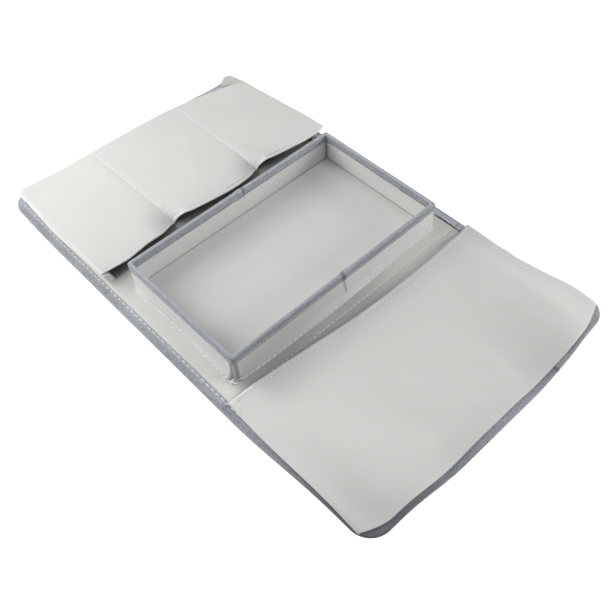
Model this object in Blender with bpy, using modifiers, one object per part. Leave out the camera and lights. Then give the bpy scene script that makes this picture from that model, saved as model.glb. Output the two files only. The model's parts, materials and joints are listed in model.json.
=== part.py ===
"""Sofa armrest organizer: a cloth mat in three sections, with a boarded tray on the middle one,
three stitched pockets on the left one and one wide pocket on the right one.

X runs along the mat, Y across it and Z up from the surface that it lies on.
"""
import math

import bmesh
import bpy
from mathutils import Matrix, Vector

OBJECT_NAME = "sofa_armrest_organizer"

# Tray, measured over its rim binding
TRAY_WIDTH = 0.1735
TRAY_LENGTH = 0.2905
TRAY_HEIGHT = 0.0389
TRAY_CORNER_RADIUS = 0.003
TRAY_SHIFT = 0.0015
TRAY_CLOTH = 0.0005
TRAY_BOARD = 0.0012
RIM_TAPE_DEPTH = 0.010

# Mat, sized from the tray that it carries
TRAY_SIDE_MARGIN = 0.01475
TRAY_END_MARGIN = 0.02975
PANEL_REACH = 0.1985
MAT_CORNER_RADIUS = 0.024
CLOTH = 0.0009
MAT_BOARD = 0.002
TAPE = 0.0006
TAPE_WIDTH = 0.0105

# Clearance between touching pieces
GAP = 0.0003

# Folds: the layers are sewn flat together along each fold line
FOLD_FLAT = 0.0012
FOLD_SLOPE = 0.004
EDGE_SLOPE = 0.003
BOARD_CLEARANCE = 0.001

# Curl of the right panel's two outer corners
CURL_RISE = 0.020
CURL_START = 0.0135
CURL_RUN = 0.140
CURL_FLAT_HALF_WIDTH = 0.050
CURL_SPREAD = 0.085

# Lift of the left panel's outer near corner
LIFT_RISE = 0.009
LIFT_RUN = 0.100
LIFT_SPREAD = 0.105

# Three-pocket front on the left panel
POCKET_SIDE_INSET = 0.011
LEFT_END_INSET = 0.008
LEFT_MOUTH_SETBACK = 0.0105
LEFT_NEAR_HEIGHT = 0.020
LEFT_FAR_HEIGHT = 0.008
LEFT_MOUTH_HEIGHT = 0.019
LEFT_FAR_CORNER_HEIGHT = 0.0055
LEFT_FAR_SLOPE_WIDTH = 0.020
DIVIDER_MOUTH_RECESS = 0.014
DIVIDER_VALLEY_HALF_WIDTH = 0.020
DIVIDER_START_RUN = 0.022
LEFT_END_GUSSET_LEAN = 0.0065
LEFT_END_GUSSET_STOP = 0.027
LEFT_FAR_GUSSET_LENGTH = 0.105
divider_shares = (0.346, 0.709)
far_height_share = 0.75
column_crowding_share = 1.5

# Wide pocket front on the right panel
RIGHT_END_INSET = 0.008
RIGHT_NEAR_SETBACK = 0.0015
RIGHT_MIDDLE_SETBACK = 0.0165
RIGHT_FAR_SETBACK = 0.0105
RIGHT_MOUTH_HEIGHT = 0.0099
RIGHT_CROWN_HEIGHT = 0.0125
RIGHT_EDGE_HEIGHT = 0.0075
RIGHT_EDGE_SLOPE_WIDTH = 0.030
RIGHT_END_SLOPE_LENGTH = 0.030
mouth_crest_share = 0.7
crown_share = 0.35

# Pocket gussets
GUSSET_FOOT_INSET = 0.0035
GUSSET_CORNER_CLEARANCE = 0.0015
gusset_fold_share = 0.6

# Fineness of the faceted solids
CORNER_STEPS = 6
CURL_CELLS_ALONG = 12
CURL_CELLS_ACROSS = 8
LIFT_CELLS = 8
POCKET_ROWS = 8
POCKET_COLUMNS = 12
WIDE_POCKET_ROWS = 22
WIDE_POCKET_COLUMNS = 14
WIDE_END_COLUMNS = 6
GUSSET_COLUMNS = 12
GUSSET_ROWS = 4
END_GUSSET_COLUMNS = 16
END_GUSSET_ROWS = GUSSET_ROWS // 2
MERGE_DISTANCE = 0.000002
FLAT_ANGLE = math.radians(0.1)

# Sizes that follow from the values above
MAT_WIDTH = TRAY_LENGTH + 2 * TRAY_END_MARGIN
FOLD_X = TRAY_WIDTH / 2 + TRAY_SIDE_MARGIN
MAT_END_X = FOLD_X + PANEL_REACH
MAT_SIDE_Y = MAT_WIDTH / 2

# Levels of the layers at the bound edge, which the fold line shares
COVER_LIFT = TAPE + GAP
LINING_EDGE_LOW = COVER_LIFT + CLOTH + GAP
EDGE_LAYERS_TOP = LINING_EDGE_LOW + CLOTH
BINDING_TOP = EDGE_LAYERS_TOP + GAP + TAPE
FOLD_AXIS_Z = BINDING_TOP / 2

# Levels of the layers inside the bound edge
BOARD_LOW = CLOTH + GAP
LINING_LOW = BOARD_LOW + MAT_BOARD + GAP
LINING_TOP = LINING_LOW + CLOTH
LINING_DROP = LINING_LOW - LINING_EDGE_LOW
SHEET_REST = LINING_TOP + GAP + CLOTH / 2

# Room for half a leaning strip's thickness at its foot, and for that and half a sheet's above it
FOOT_CLEARANCE = CLOTH / 2 + GAP
STRIP_CLEARANCE = CLOTH + GAP

# Ends at a fold line: the panel's layers lap past it as far as its binding swings, and no further
CENTRE_END = FOLD_X - FOLD_AXIS_Z - GAP
FOLD_LAP = math.sqrt(FOLD_AXIS_Z ** 2 - (FOLD_AXIS_Z - COVER_LIFT) ** 2)
PANEL_LAYER_END = FOLD_X - FOLD_LAP
LAYER_INSET = TAPE + GAP
EDGE_FLAT = TAPE_WIDTH - LAYER_INSET + GAP

CLOTH_COLOUR = (0.60, 0.61, 0.57)
TRAY_CLOTH_COLOUR = (0.55, 0.56, 0.54)
BACK_COLOUR = (0.50, 0.51, 0.50)
TAPE_COLOUR = (0.24, 0.28, 0.34)
BOARD_COLOUR = (0.45, 0.36, 0.25)


def clear_scene():
    """Remove every object of the open scene."""
    for item in list(bpy.data.objects):
        bpy.data.objects.remove(item, do_unlink=True)


def smooth_step(share):
    """Share from 0 to 1 that leaves and arrives level."""
    share = min(max(share, 0), 1)
    return share * share * (3 - 2 * share)


def stepped_share(share, cells):
    """The smooth step drawn as straight stretches, so that pieces cut alike also bend alike."""
    place = min(max(share, 0), 1) * cells
    first = min(math.floor(place), cells - 1)
    return between(smooth_step(first / cells), smooth_step((first + 1) / cells), place - first)


def between(start, end, share):
    """Value at a share of the way from start to end."""
    return start + (end - start) * share


# Outlines and flat pieces

def outline(low, high, radii):
    """Rectangle from low to high as points, with each corner's own radius, counterclockwise."""
    corners = [
        (low[0], low[1], radii[0], math.pi),
        (high[0], low[1], radii[1], 1.5 * math.pi),
        (high[0], high[1], radii[2], 0),
        (low[0], high[1], radii[3], 0.5 * math.pi),
    ]
    points = []
    for x, y, radius, start in corners:
        if not radius:
            points.append((x, y))
            continue
        centre_x = x + math.copysign(radius, (low[0] + high[0]) / 2 - x)
        centre_y = y + math.copysign(radius, (low[1] + high[1]) / 2 - y)
        for step in range(CORNER_STEPS + 1):
            angle = start + step * math.pi / (2 * CORNER_STEPS)
            points.append((centre_x + radius * math.cos(angle), centre_y + radius * math.sin(angle)))
    return points


def extruded(loops, low, high):
    """Solid between two levels with the loops as its outline and holes, from a filled 2D curve."""
    curve = bpy.data.curves.new("outline", "CURVE")
    curve.dimensions = "2D"
    curve.fill_mode = "BOTH"
    curve.extrude = (high - low) / 2
    for points in loops:
        spline = curve.splines.new("POLY")
        spline.points.add(len(points) - 1)
        for point, (x, y) in zip(spline.points, points):
            point.co = (x, y, 0, 1)
        spline.use_cyclic_u = True
    guide = bpy.data.objects.new("outline", curve)
    guide.location.z = (low + high) / 2
    bpy.context.scene.collection.objects.link(guide)
    solid = evaluated_solid(guide)
    bpy.data.objects.remove(guide, do_unlink=True)
    return solid


def evaluated_solid(item):
    """Closed bmesh of an object as it stands in the scene, with its modifiers applied."""
    bpy.context.view_layer.update()
    graph = bpy.context.evaluated_depsgraph_get()
    mesh = bpy.data.meshes.new_from_object(item.evaluated_get(graph))
    solid = bmesh.new()
    solid.from_mesh(mesh)
    solid.transform(item.matrix_world)
    bpy.data.meshes.remove(mesh)
    bmesh.ops.remove_doubles(solid, verts=solid.verts, dist=MERGE_DISTANCE)
    bmesh.ops.recalc_face_normals(solid, faces=solid.faces)
    return solid


def without(solid, cutter):
    """The solid with the cutter's space taken away by an exact Boolean."""
    items = []
    for shape in (solid, cutter):
        mesh = bpy.data.meshes.new("shape")
        shape.to_mesh(mesh)
        shape.free()
        item = bpy.data.objects.new("shape", mesh)
        bpy.context.scene.collection.objects.link(item)
        items.append(item)
    cut = items[0].modifiers.new("cut", "BOOLEAN")
    cut.operation = "DIFFERENCE"
    cut.object = items[1]
    result = evaluated_solid(items[0])
    for item in items:
        bpy.data.objects.remove(item, do_unlink=True)
    return result


def merge_flat_faces(solid):
    """Join the triangles of each flat face, so that the cuts that follow stay few."""
    bmesh.ops.dissolve_limit(
        solid, angle_limit=FLAT_ANGLE, verts=solid.verts, edges=solid.edges
    )


def cut_lines(solid, axis, places):
    """Add edges to the solid where each plane square to the axis crosses it."""
    normal = Vector((0, 0, 0))
    normal[axis] = 1
    for place in places:
        geometry = solid.verts[:] + solid.edges[:] + solid.faces[:]
        bmesh.ops.bisect_plane(
            solid, geom=geometry, dist=MERGE_DISTANCE, plane_co=normal * place, plane_no=normal
        )


def lay(solid, height):
    """Raise each point of the solid by the height that the function gives for its place."""
    for vertex in solid.verts:
        vertex.co.z += height(vertex.co.x, vertex.co.y)


# Curl of the right panel

def curl(x, y):
    """Rise of the right panel's lower face: level by the fold, lifted at both outer corners."""
    along = stepped_share((x - FOLD_X - CURL_START) / CURL_RUN, CURL_CELLS_ALONG)
    across = stepped_share((abs(y) - CURL_FLAT_HALF_WIDTH) / CURL_SPREAD, CURL_CELLS_ACROSS)
    return CURL_RISE * along * across


def curl_lines(solid):
    """Cut the solid where the curl bends it, on the same planes for every piece."""
    start = FOLD_X + CURL_START
    cut_lines(solid, 0, [start + CURL_RUN * n / CURL_CELLS_ALONG for n in range(CURL_CELLS_ALONG + 1)])
    across = [
        CURL_FLAT_HALF_WIDTH + CURL_SPREAD * n / CURL_CELLS_ACROSS
        for n in range(CURL_CELLS_ACROSS + 1)
    ]
    cut_lines(solid, 1, across + [-y for y in across])


# Lift of the left panel

def lift(x, y):
    """Rise of the left panel's lower face: level, but lifted at its outer near corner."""
    along = stepped_share((-x - MAT_END_X + LIFT_RUN) / LIFT_RUN, LIFT_CELLS)
    across = stepped_share((-y - MAT_SIDE_Y + LIFT_SPREAD) / LIFT_SPREAD, LIFT_CELLS)
    return LIFT_RISE * along * across


def lift_lines(solid):
    """Cut the solid where the lift bends it, on the same planes for every piece."""
    steps = range(LIFT_CELLS + 1)
    cut_lines(solid, 0, [-MAT_END_X + LIFT_RUN * n / LIFT_CELLS for n in steps])
    cut_lines(solid, 1, [-MAT_SIDE_Y + LIFT_SPREAD * n / LIFT_CELLS for n in steps])


def level(x, y):
    """No rise: the middle section lies flat."""
    return 0


# Sections of the mat

class Section:
    """One of the mat's three sections: its ends, its bound corners and how it lies."""

    def __init__(self, name, layer_ends, binding_ends, bound_ends, rise, rise_lines):
        self.name = name
        self.layer_ends = layer_ends
        self.binding_ends = binding_ends
        self.bound_ends = bound_ends
        self.rise = rise
        self.rise_lines = rise_lines

    def corner_radii(self, inset):
        """Radii of an outline drawn inside the mat's edge, square where the section meets a fold."""
        radius = max(MAT_CORNER_RADIUS - inset, 0)
        left, right = (radius if bound else 0 for bound in self.bound_ends)
        return (left, right, right, left)

    def layer_outline(self, step, extra=0):
        """Outline of the cloth layers: 0 at their edge, 1 where they leave the edge's level
        and 2 where they reach their full level."""
        edge = LAYER_INSET + (0, EDGE_FLAT, EDGE_FLAT + EDGE_SLOPE)[step] + extra
        fold = (0, FOLD_FLAT, FOLD_FLAT + FOLD_SLOPE)[step] + extra
        low_x = self.layer_ends[0] + (edge if self.bound_ends[0] else fold)
        high_x = self.layer_ends[1] - (edge if self.bound_ends[1] else fold)
        side = MAT_SIDE_Y - edge
        return outline((low_x, -side), (high_x, side), self.corner_radii(edge))

    def layer(self, low, edge_shift):
        """Cloth layer that moves by edge_shift where it is pressed flat along its edges."""
        solid = bmesh.new()
        rims = []
        for step, shift in enumerate((edge_shift, edge_shift, 0)):
            points = [solid.verts.new((x, y, low + shift)) for x, y in self.layer_outline(step)]
            rims.append([solid.edges.new(pair) for pair in zip(points, points[1:] + points[:1])])
        for outer, inner in zip(rims, rims[1:]):
            bmesh.ops.bridge_loops(solid, edges=outer + inner)
        bmesh.ops.contextual_create(solid, geom=rims[-1])
        self.rise_lines(solid)
        thickened = bmesh.ops.extrude_face_region(solid, geom=solid.faces[:])
        top = [item for item in thickened["geom"] if isinstance(item, bmesh.types.BMVert)]
        bmesh.ops.translate(solid, verts=top, vec=(0, 0, CLOTH))
        lay(solid, self.rise)
        bmesh.ops.recalc_face_normals(solid, faces=solid.faces)
        return solid

    def board(self):
        """Stiffening board between the two layers, clear of their slopes."""
        solid = extruded([self.layer_outline(2, BOARD_CLEARANCE)], BOARD_LOW, BOARD_LOW + MAT_BOARD)
        merge_flat_faces(solid)
        self.rise_lines(solid)
        lay(solid, self.rise)
        return solid

    def binding(self):
        """Tape folded round the edge: a band with a slot for the layers, open at the folds."""
        low = (self.binding_ends[0], -MAT_SIDE_Y)
        high = (self.binding_ends[1], MAT_SIDE_Y)
        past = TAPE_WIDTH
        inner_low = (low[0] + (TAPE_WIDTH if self.bound_ends[0] else -past), low[1] + TAPE_WIDTH)
        inner_high = (high[0] + (-TAPE_WIDTH if self.bound_ends[1] else past), high[1] - TAPE_WIDTH)
        slot_low = (low[0] + (TAPE if self.bound_ends[0] else -past), low[1] + TAPE)
        slot_high = (high[0] + (-TAPE if self.bound_ends[1] else past), high[1] - TAPE)
        band = extruded([outline(low, high, self.corner_radii(0))], 0, BINDING_TOP)
        middle = extruded(
            [outline(inner_low, inner_high, self.corner_radii(TAPE_WIDTH))], -TAPE, BINDING_TOP + TAPE
        )
        slot = extruded(
            [outline(slot_low, slot_high, self.corner_radii(TAPE))], TAPE, BINDING_TOP - TAPE
        )
        solid = without(without(band, middle), slot)
        merge_flat_faces(solid)
        self.rise_lines(solid)
        lay(solid, self.rise)
        return solid


# Cloth sheets that stand free of the mat

def sheet(columns, rows, place):
    """Closed cloth sheet: a unit grid moved to place(u, v) and thickened about its middle."""
    grid = bmesh.new()
    bmesh.ops.create_grid(grid, x_segments=columns, y_segments=rows, size=0.5)
    for vertex in grid.verts:
        vertex.co = place(vertex.co.x + 0.5, vertex.co.y + 0.5)
    bmesh.ops.recalc_face_normals(grid, faces=grid.faces)
    mesh = bpy.data.meshes.new("sheet")
    grid.to_mesh(mesh)
    grid.free()
    item = bpy.data.objects.new("sheet", mesh)
    bpy.context.scene.collection.objects.link(item)
    wall = item.modifiers.new("thickness", "SOLIDIFY")
    wall.thickness = CLOTH
    wall.offset = 0
    wall.use_even_offset = True
    solid = evaluated_solid(item)
    bpy.data.objects.remove(item, do_unlink=True)
    return solid


POCKET_NEAR_Y = -MAT_SIDE_Y + POCKET_SIDE_INSET
POCKET_FAR_Y = MAT_SIDE_Y - POCKET_SIDE_INSET
DIVIDERS_Y = [between(-MAT_SIDE_Y, MAT_SIDE_Y, share) for share in divider_shares]


def spaced_places():
    """Places across the left pockets, closer together by the dividers and the two sides."""
    ends = [POCKET_NEAR_Y] + DIVIDERS_Y + [POCKET_FAR_Y]
    places = []
    for start, end in zip(ends, ends[1:]):
        for n in range(POCKET_ROWS):
            places.append(between(start, end, (1 - math.cos(math.pi * n / POCKET_ROWS)) / 2))
    return places + [POCKET_FAR_Y]


def divider_pull(y):
    """1 on a divider's seam, falling away on both sides of it."""
    distance = min(abs(y - divider) for divider in DIVIDERS_Y)
    return max(1 - distance / DIVIDER_VALLEY_HALF_WIDTH, 0) ** 2


def left_mouth_x(y):
    """Mouth edge of the three pockets: drawn back from the fold where a divider holds it."""
    return -FOLD_X - LEFT_MOUTH_SETBACK - DIVIDER_MOUTH_RECESS * divider_pull(y)


def left_sheet_z(x, y):
    """Height of the three-pocket front: higher near than far at its end, level at its mouth."""
    end_x = -MAT_END_X + LEFT_END_INSET
    along = (x - end_x) / (-FOLD_X - LEFT_MOUTH_SETBACK - end_x)
    across = (y - POCKET_NEAR_Y) / (POCKET_FAR_Y - POCKET_NEAR_Y)
    end_height = between(LEFT_NEAR_HEIGHT, LEFT_FAR_HEIGHT, min(across / far_height_share, 1))
    far_share = smooth_step(1 - (POCKET_FAR_Y - y) / LEFT_FAR_SLOPE_WIDTH)
    end_height = between(end_height, LEFT_FAR_CORNER_HEIGHT, far_share)
    height = between(end_height, LEFT_MOUTH_HEIGHT, smooth_step(along))
    held = divider_pull(y) * smooth_step((x - end_x) / DIVIDER_START_RUN)
    return between(height, SHEET_REST + lift(x, y), held)


def left_sheet_height(x, y):
    """Height of the three-pocket front over the panel's lower face."""
    return left_sheet_z(x, y) - lift(x, y)


def three_pocket_front():
    """Front of the three pockets, sewn down to the lining along the two dividers."""
    places = spaced_places()
    end_x = -MAT_END_X + LEFT_END_INSET

    def place(u, v):
        y = places[round(v * (len(places) - 1))]
        x = between(end_x, left_mouth_x(y), u ** column_crowding_share)
        return Vector((x, y, left_sheet_z(x, y)))

    return sheet(POCKET_COLUMNS, len(places) - 1, place)


def right_mouth_x(share):
    """Mouth edge of the wide pocket: bowed away from the fold, with its near corner closest."""
    if share < mouth_crest_share:
        run, setback = (mouth_crest_share - share) / mouth_crest_share, RIGHT_NEAR_SETBACK
    else:
        run, setback = (share - mouth_crest_share) / (1 - mouth_crest_share), RIGHT_FAR_SETBACK
    return FOLD_X + between(RIGHT_MIDDLE_SETBACK, setback, run * run)


def right_sheet_height(x, y):
    """Height of the wide pocket's front over the mat's lower face: low sides, low outer end."""
    end_x = MAT_END_X - RIGHT_END_INSET
    along = (x - FOLD_X) / (end_x - FOLD_X)
    crown = between(RIGHT_MOUTH_HEIGHT, RIGHT_CROWN_HEIGHT, smooth_step(along / crown_share))
    side = (POCKET_FAR_Y - abs(y)) / RIGHT_EDGE_SLOPE_WIDTH
    height = between(RIGHT_EDGE_HEIGHT, crown, smooth_step(side))
    return between(SHEET_REST, height, math.sqrt(smooth_step((end_x - x) / RIGHT_END_SLOPE_LENGTH)))


WIDE_END_X = MAT_END_X - RIGHT_END_INSET - RIGHT_END_SLOPE_LENGTH


def wide_pocket_sheet(columns, outer_x, inner_x):
    """Part of the wide pocket's front from outer_x in to inner_x(v), over the curl of the panel."""
    def place(u, v):
        x = between(outer_x, inner_x(v), u)
        y = between(POCKET_NEAR_Y, POCKET_FAR_Y, v)
        return Vector((x, y, right_sheet_height(x, y) + curl(x, y)))

    return sheet(columns, WIDE_POCKET_ROWS, place)


def wide_pocket_front():
    """Front of the wide pocket, from its mouth to where it turns down."""
    return wide_pocket_sheet(WIDE_POCKET_COLUMNS, WIDE_END_X - GAP, right_mouth_x)


def wide_pocket_end():
    """Outer end of the wide pocket's front, turned down onto the lining."""
    return wide_pocket_sheet(WIDE_END_COLUMNS, MAT_END_X - RIGHT_END_INSET, lambda v: WIDE_END_X)


# Gussets

def gusset(edge, foot):
    """Bellows strip from edge(u) under a sheet down to foot(u) on the lining, folded inwards once."""
    def place(u, v):
        top, bottom = edge(u), foot(u)
        inward = Vector((bottom.x - top.x, bottom.y - top.y, 0)).normalized()
        depth = gusset_fold_share * (top.z - bottom.z) * (1 - abs(2 * v - 1))
        return top.lerp(bottom, v) + inward * depth

    return sheet(GUSSET_COLUMNS, GUSSET_ROWS, place)


def side_gusset(ends, side, height, rise):
    """Gusset along the near side or the far side of a pocket front."""
    edge_y = side * (-POCKET_NEAR_Y - CLOTH)
    foot_y = side * (MAT_SIDE_Y - LAYER_INSET - EDGE_FLAT - EDGE_SLOPE - GUSSET_FOOT_INSET)

    def edge(u):
        x = between(ends[0], ends[1], u)
        return Vector((x, edge_y, height(x, edge_y) + rise(x, edge_y) - STRIP_CLEARANCE))

    def foot(u):
        x = between(ends[0], ends[1], u)
        return Vector((x, foot_y, LINING_TOP + rise(x, foot_y) + FOOT_CLEARANCE))

    return gusset(edge, foot)


def left_end_gusset():
    """Wall under the outer end of the three-pocket front, leaning outwards."""
    top_x = -MAT_END_X + LEFT_END_INSET + CLOTH
    foot_x = top_x + LEFT_END_GUSSET_LEAN
    near = POCKET_NEAR_Y + CLOTH
    far = POCKET_FAR_Y - LEFT_END_GUSSET_STOP

    def place(u, v):
        y = between(near, far, u)
        top = Vector((top_x, y, left_sheet_z(top_x, y) - STRIP_CLEARANCE))
        foot = Vector((foot_x, y, LINING_TOP + lift(foot_x, y) + FOOT_CLEARANCE))
        return top.lerp(foot, v)

    return sheet(END_GUSSET_COLUMNS, END_GUSSET_ROWS, place)


# Tray

TRAY_LOW = LINING_TOP + GAP
TRAY_TOP = TRAY_LOW + TRAY_HEIGHT
TRAY_COVER_INSET = TAPE + GAP
TRAY_BOARD_INSET = TRAY_COVER_INSET + TRAY_CLOTH + GAP
TRAY_LINING_INSET = TRAY_BOARD_INSET + TRAY_BOARD + GAP
TRAY_INNER_INSET = TRAY_LINING_INSET + TRAY_CLOTH
TRAY_RIM_INSET = TRAY_INNER_INSET + GAP + TAPE
TRAY_BASE_TOP = TRAY_LOW + TRAY_BOARD
TRAY_FLOOR_TOP = TRAY_BASE_TOP + GAP + TRAY_CLOTH
TRAY_WALL_TOP = TRAY_TOP - TAPE - GAP


def tray_outline(inset):
    """Outline of the tray drawn inside its rim binding's outer face."""
    half_x = TRAY_WIDTH / 2 - inset
    half_y = TRAY_LENGTH / 2 - inset
    radius = max(TRAY_CORNER_RADIUS - inset, 0)
    low = (-half_x, TRAY_SHIFT - half_y)
    high = (half_x, TRAY_SHIFT + half_y)
    return outline(low, high, (radius,) * 4)


def tray_ring(outer_inset, inner_inset, low, high):
    """Upright wall all round the tray between two insets and two levels."""
    return extruded([tray_outline(outer_inset), tray_outline(inner_inset)], low, high)


def tray_rim_binding():
    """Tape folded over the top of the walls, open below."""
    ring = tray_ring(0, TRAY_RIM_INSET, TRAY_TOP - RIM_TAPE_DEPTH, TRAY_TOP)
    groove = tray_ring(
        TAPE, TRAY_RIM_INSET - TAPE, TRAY_TOP - RIM_TAPE_DEPTH - TAPE, TRAY_TOP - TAPE
    )
    return without(ring, groove)


def box(size):
    """Box of the given size about the origin."""
    solid = bmesh.new()
    bmesh.ops.create_cube(solid, size=1, matrix=Matrix.Diagonal((*size, 1)))
    return solid


# Assembly

def cloth_material(name, colour, roughness):
    """Plain Principled material."""
    material = bpy.data.materials.new(name)
    material.use_nodes = True
    shader = material.node_tree.nodes["Principled BSDF"]
    shader.inputs["Base Color"].default_value = (*colour, 1)
    shader.inputs["Roughness"].default_value = roughness
    shader.inputs["Metallic"].default_value = 0
    material.diffuse_color = (*colour, 1)
    return material


class Assembly:
    """The collection of named pieces, and the carriers that the moving ones hang on."""

    def __init__(self):
        self.collection = bpy.data.collections.new(OBJECT_NAME)
        bpy.context.scene.collection.children.link(self.collection)

    def carrier(self, name, x):
        """Empty on a fold line, which a panel turns about."""
        empty = bpy.data.objects.new(name, None)
        empty.location = (x, 0, FOLD_AXIS_Z)
        self.collection.objects.link(empty)
        bpy.context.view_layer.update()
        return empty

    def add(self, name, solid, look, carrier=None, location=(0, 0, 0)):
        """Turn a finished solid into a named piece with its own material."""
        colour, roughness = look
        mesh = bpy.data.meshes.new(name)
        solid.to_mesh(mesh)
        solid.free()
        mesh.materials.append(cloth_material(name, colour, roughness))
        piece = bpy.data.objects.new(name, mesh)
        piece.location = location
        self.collection.objects.link(piece)
        if carrier:
            piece.parent = carrier
            piece.matrix_parent_inverse = carrier.matrix_world.inverted()
        return piece


CLOTH_LOOK = (CLOTH_COLOUR, 0.9)
TRAY_CLOTH_LOOK = (TRAY_CLOTH_COLOUR, 0.9)
BACK_LOOK = (BACK_COLOUR, 0.9)
TAPE_LOOK = (TAPE_COLOUR, 0.8)
BOARD_LOOK = (BOARD_COLOUR, 0.95)


def add_section(assembly, section, carrier):
    """The layers and board that every section of the mat has."""
    name = section.name
    assembly.add(name + "_back_cover", section.layer(0, COVER_LIFT), BACK_LOOK, carrier)
    assembly.add(name + "_board", section.board(), BOARD_LOOK, carrier)
    assembly.add(name + "_lining", section.layer(LINING_LOW, -LINING_DROP), CLOTH_LOOK, carrier)


def add_centre(assembly):
    """Middle section with a binding strip on its near side and one on its far side."""
    section = Section(
        "centre",
        (-CENTRE_END, CENTRE_END),
        (-CENTRE_END, CENTRE_END),
        (False, False),
        level,
        lambda solid: None,
    )
    add_section(assembly, section, None)
    for side, name in ((-1, "centre_binding_near"), (1, "centre_binding_far")):
        strip = box((2 * CENTRE_END, TAPE_WIDTH, BINDING_TOP))
        slot = box((2 * CENTRE_END + TAPE_WIDTH, TAPE_WIDTH, BINDING_TOP - 2 * TAPE))
        bmesh.ops.translate(slot, verts=slot.verts, vec=(0, -side * TAPE, 0))
        place = (0, side * (MAT_SIDE_Y - TAPE_WIDTH / 2), FOLD_AXIS_Z)
        assembly.add(name, without(strip, slot), TAPE_LOOK, None, place)


def add_tray(assembly):
    """Boarded tray: cloth-covered walls on a base board, with a bound rim."""
    base = extruded([tray_outline(TRAY_BOARD_INSET)], TRAY_LOW, TRAY_BASE_TOP)
    assembly.add("tray_base_board", base, BOARD_LOOK)
    floor = extruded([tray_outline(TRAY_LINING_INSET)], TRAY_BASE_TOP + GAP, TRAY_FLOOR_TOP)
    assembly.add("tray_floor_cloth", floor, TRAY_CLOTH_LOOK)
    cover = tray_ring(TRAY_COVER_INSET, TRAY_COVER_INSET + TRAY_CLOTH, TRAY_LOW, TRAY_WALL_TOP)
    assembly.add("tray_outer_cover", cover, TRAY_CLOTH_LOOK)
    lining = tray_ring(TRAY_LINING_INSET, TRAY_INNER_INSET, TRAY_FLOOR_TOP + GAP, TRAY_WALL_TOP)
    assembly.add("tray_inner_lining", lining, TRAY_CLOTH_LOOK)
    assembly.add("tray_rim_binding", tray_rim_binding(), TAPE_LOOK)
    height = TRAY_WALL_TOP - TRAY_BASE_TOP - GAP
    middle_z = TRAY_WALL_TOP - height / 2
    wall_x = TRAY_WIDTH / 2 - TRAY_BOARD_INSET - TRAY_BOARD / 2
    wall_y = TRAY_LENGTH / 2 - TRAY_BOARD_INSET - TRAY_BOARD / 2
    long_size = (TRAY_BOARD, 2 * wall_y + TRAY_BOARD - 2 * TRAY_CORNER_RADIUS, height)
    short_size = (2 * wall_x - TRAY_BOARD - 2 * GAP, TRAY_BOARD, height)
    walls = (
        ("left", long_size, (-wall_x, TRAY_SHIFT, middle_z)),
        ("right", long_size, (wall_x, TRAY_SHIFT, middle_z)),
        ("near", short_size, (0, TRAY_SHIFT - wall_y, middle_z)),
        ("far", short_size, (0, TRAY_SHIFT + wall_y, middle_z)),
    )
    for side, size, place in walls:
        assembly.add("tray_wall_board_" + side, box(size), BOARD_LOOK, None, place)


def add_left_panel(assembly):
    """Left panel with its three pockets."""
    fold = assembly.carrier("left_fold_line", -FOLD_X)
    section = Section(
        "left",
        (-MAT_END_X, -PANEL_LAYER_END),
        (-MAT_END_X, -FOLD_X),
        (True, False),
        lift,
        lift_lines,
    )
    add_section(assembly, section, fold)
    assembly.add("left_binding", section.binding(), TAPE_LOOK, fold)
    assembly.add("three_pocket_front", three_pocket_front(), CLOTH_LOOK, fold)
    start = -MAT_END_X + LEFT_END_INSET + LEFT_END_GUSSET_LEAN + 2 * CLOTH + GUSSET_CORNER_CLEARANCE
    mouth = -FOLD_X - LEFT_MOUTH_SETBACK - CLOTH
    near = side_gusset((start, mouth), -1, left_sheet_height, lift)
    assembly.add("three_pocket_near_gusset", near, CLOTH_LOOK, fold)
    far = side_gusset((mouth - LEFT_FAR_GUSSET_LENGTH, mouth), 1, left_sheet_height, lift)
    assembly.add("three_pocket_far_gusset", far, CLOTH_LOOK, fold)
    assembly.add("three_pocket_end_gusset", left_end_gusset(), CLOTH_LOOK, fold)


def add_right_panel(assembly):
    """Right panel with its wide pocket and lifted outer corners."""
    fold = assembly.carrier("right_fold_line", FOLD_X)
    section = Section(
        "right",
        (PANEL_LAYER_END, MAT_END_X),
        (FOLD_X, MAT_END_X),
        (False, True),
        curl,
        curl_lines,
    )
    add_section(assembly, section, fold)
    assembly.add("right_binding", section.binding(), TAPE_LOOK, fold)
    assembly.add("wide_pocket_front", wide_pocket_front(), CLOTH_LOOK, fold)
    assembly.add("wide_pocket_end", wide_pocket_end(), CLOTH_LOOK, fold)
    near_start = FOLD_X + RIGHT_NEAR_SETBACK + CLOTH
    far_start = FOLD_X + RIGHT_FAR_SETBACK + CLOTH
    near = side_gusset((near_start, WIDE_END_X), -1, right_sheet_height, curl)
    assembly.add("wide_pocket_near_gusset", near, CLOTH_LOOK, fold)
    far = side_gusset((far_start, WIDE_END_X), 1, right_sheet_height, curl)
    assembly.add("wide_pocket_far_gusset", far, CLOTH_LOOK, fold)


def main():
    """Build the whole organizer."""
    clear_scene()
    assembly = Assembly()
    add_centre(assembly)
    add_tray(assembly)
    add_left_panel(assembly)
    add_right_panel(assembly)


main()
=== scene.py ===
import json
import math

import bpy
import numpy as np
from mathutils import Matrix, Vector


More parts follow.
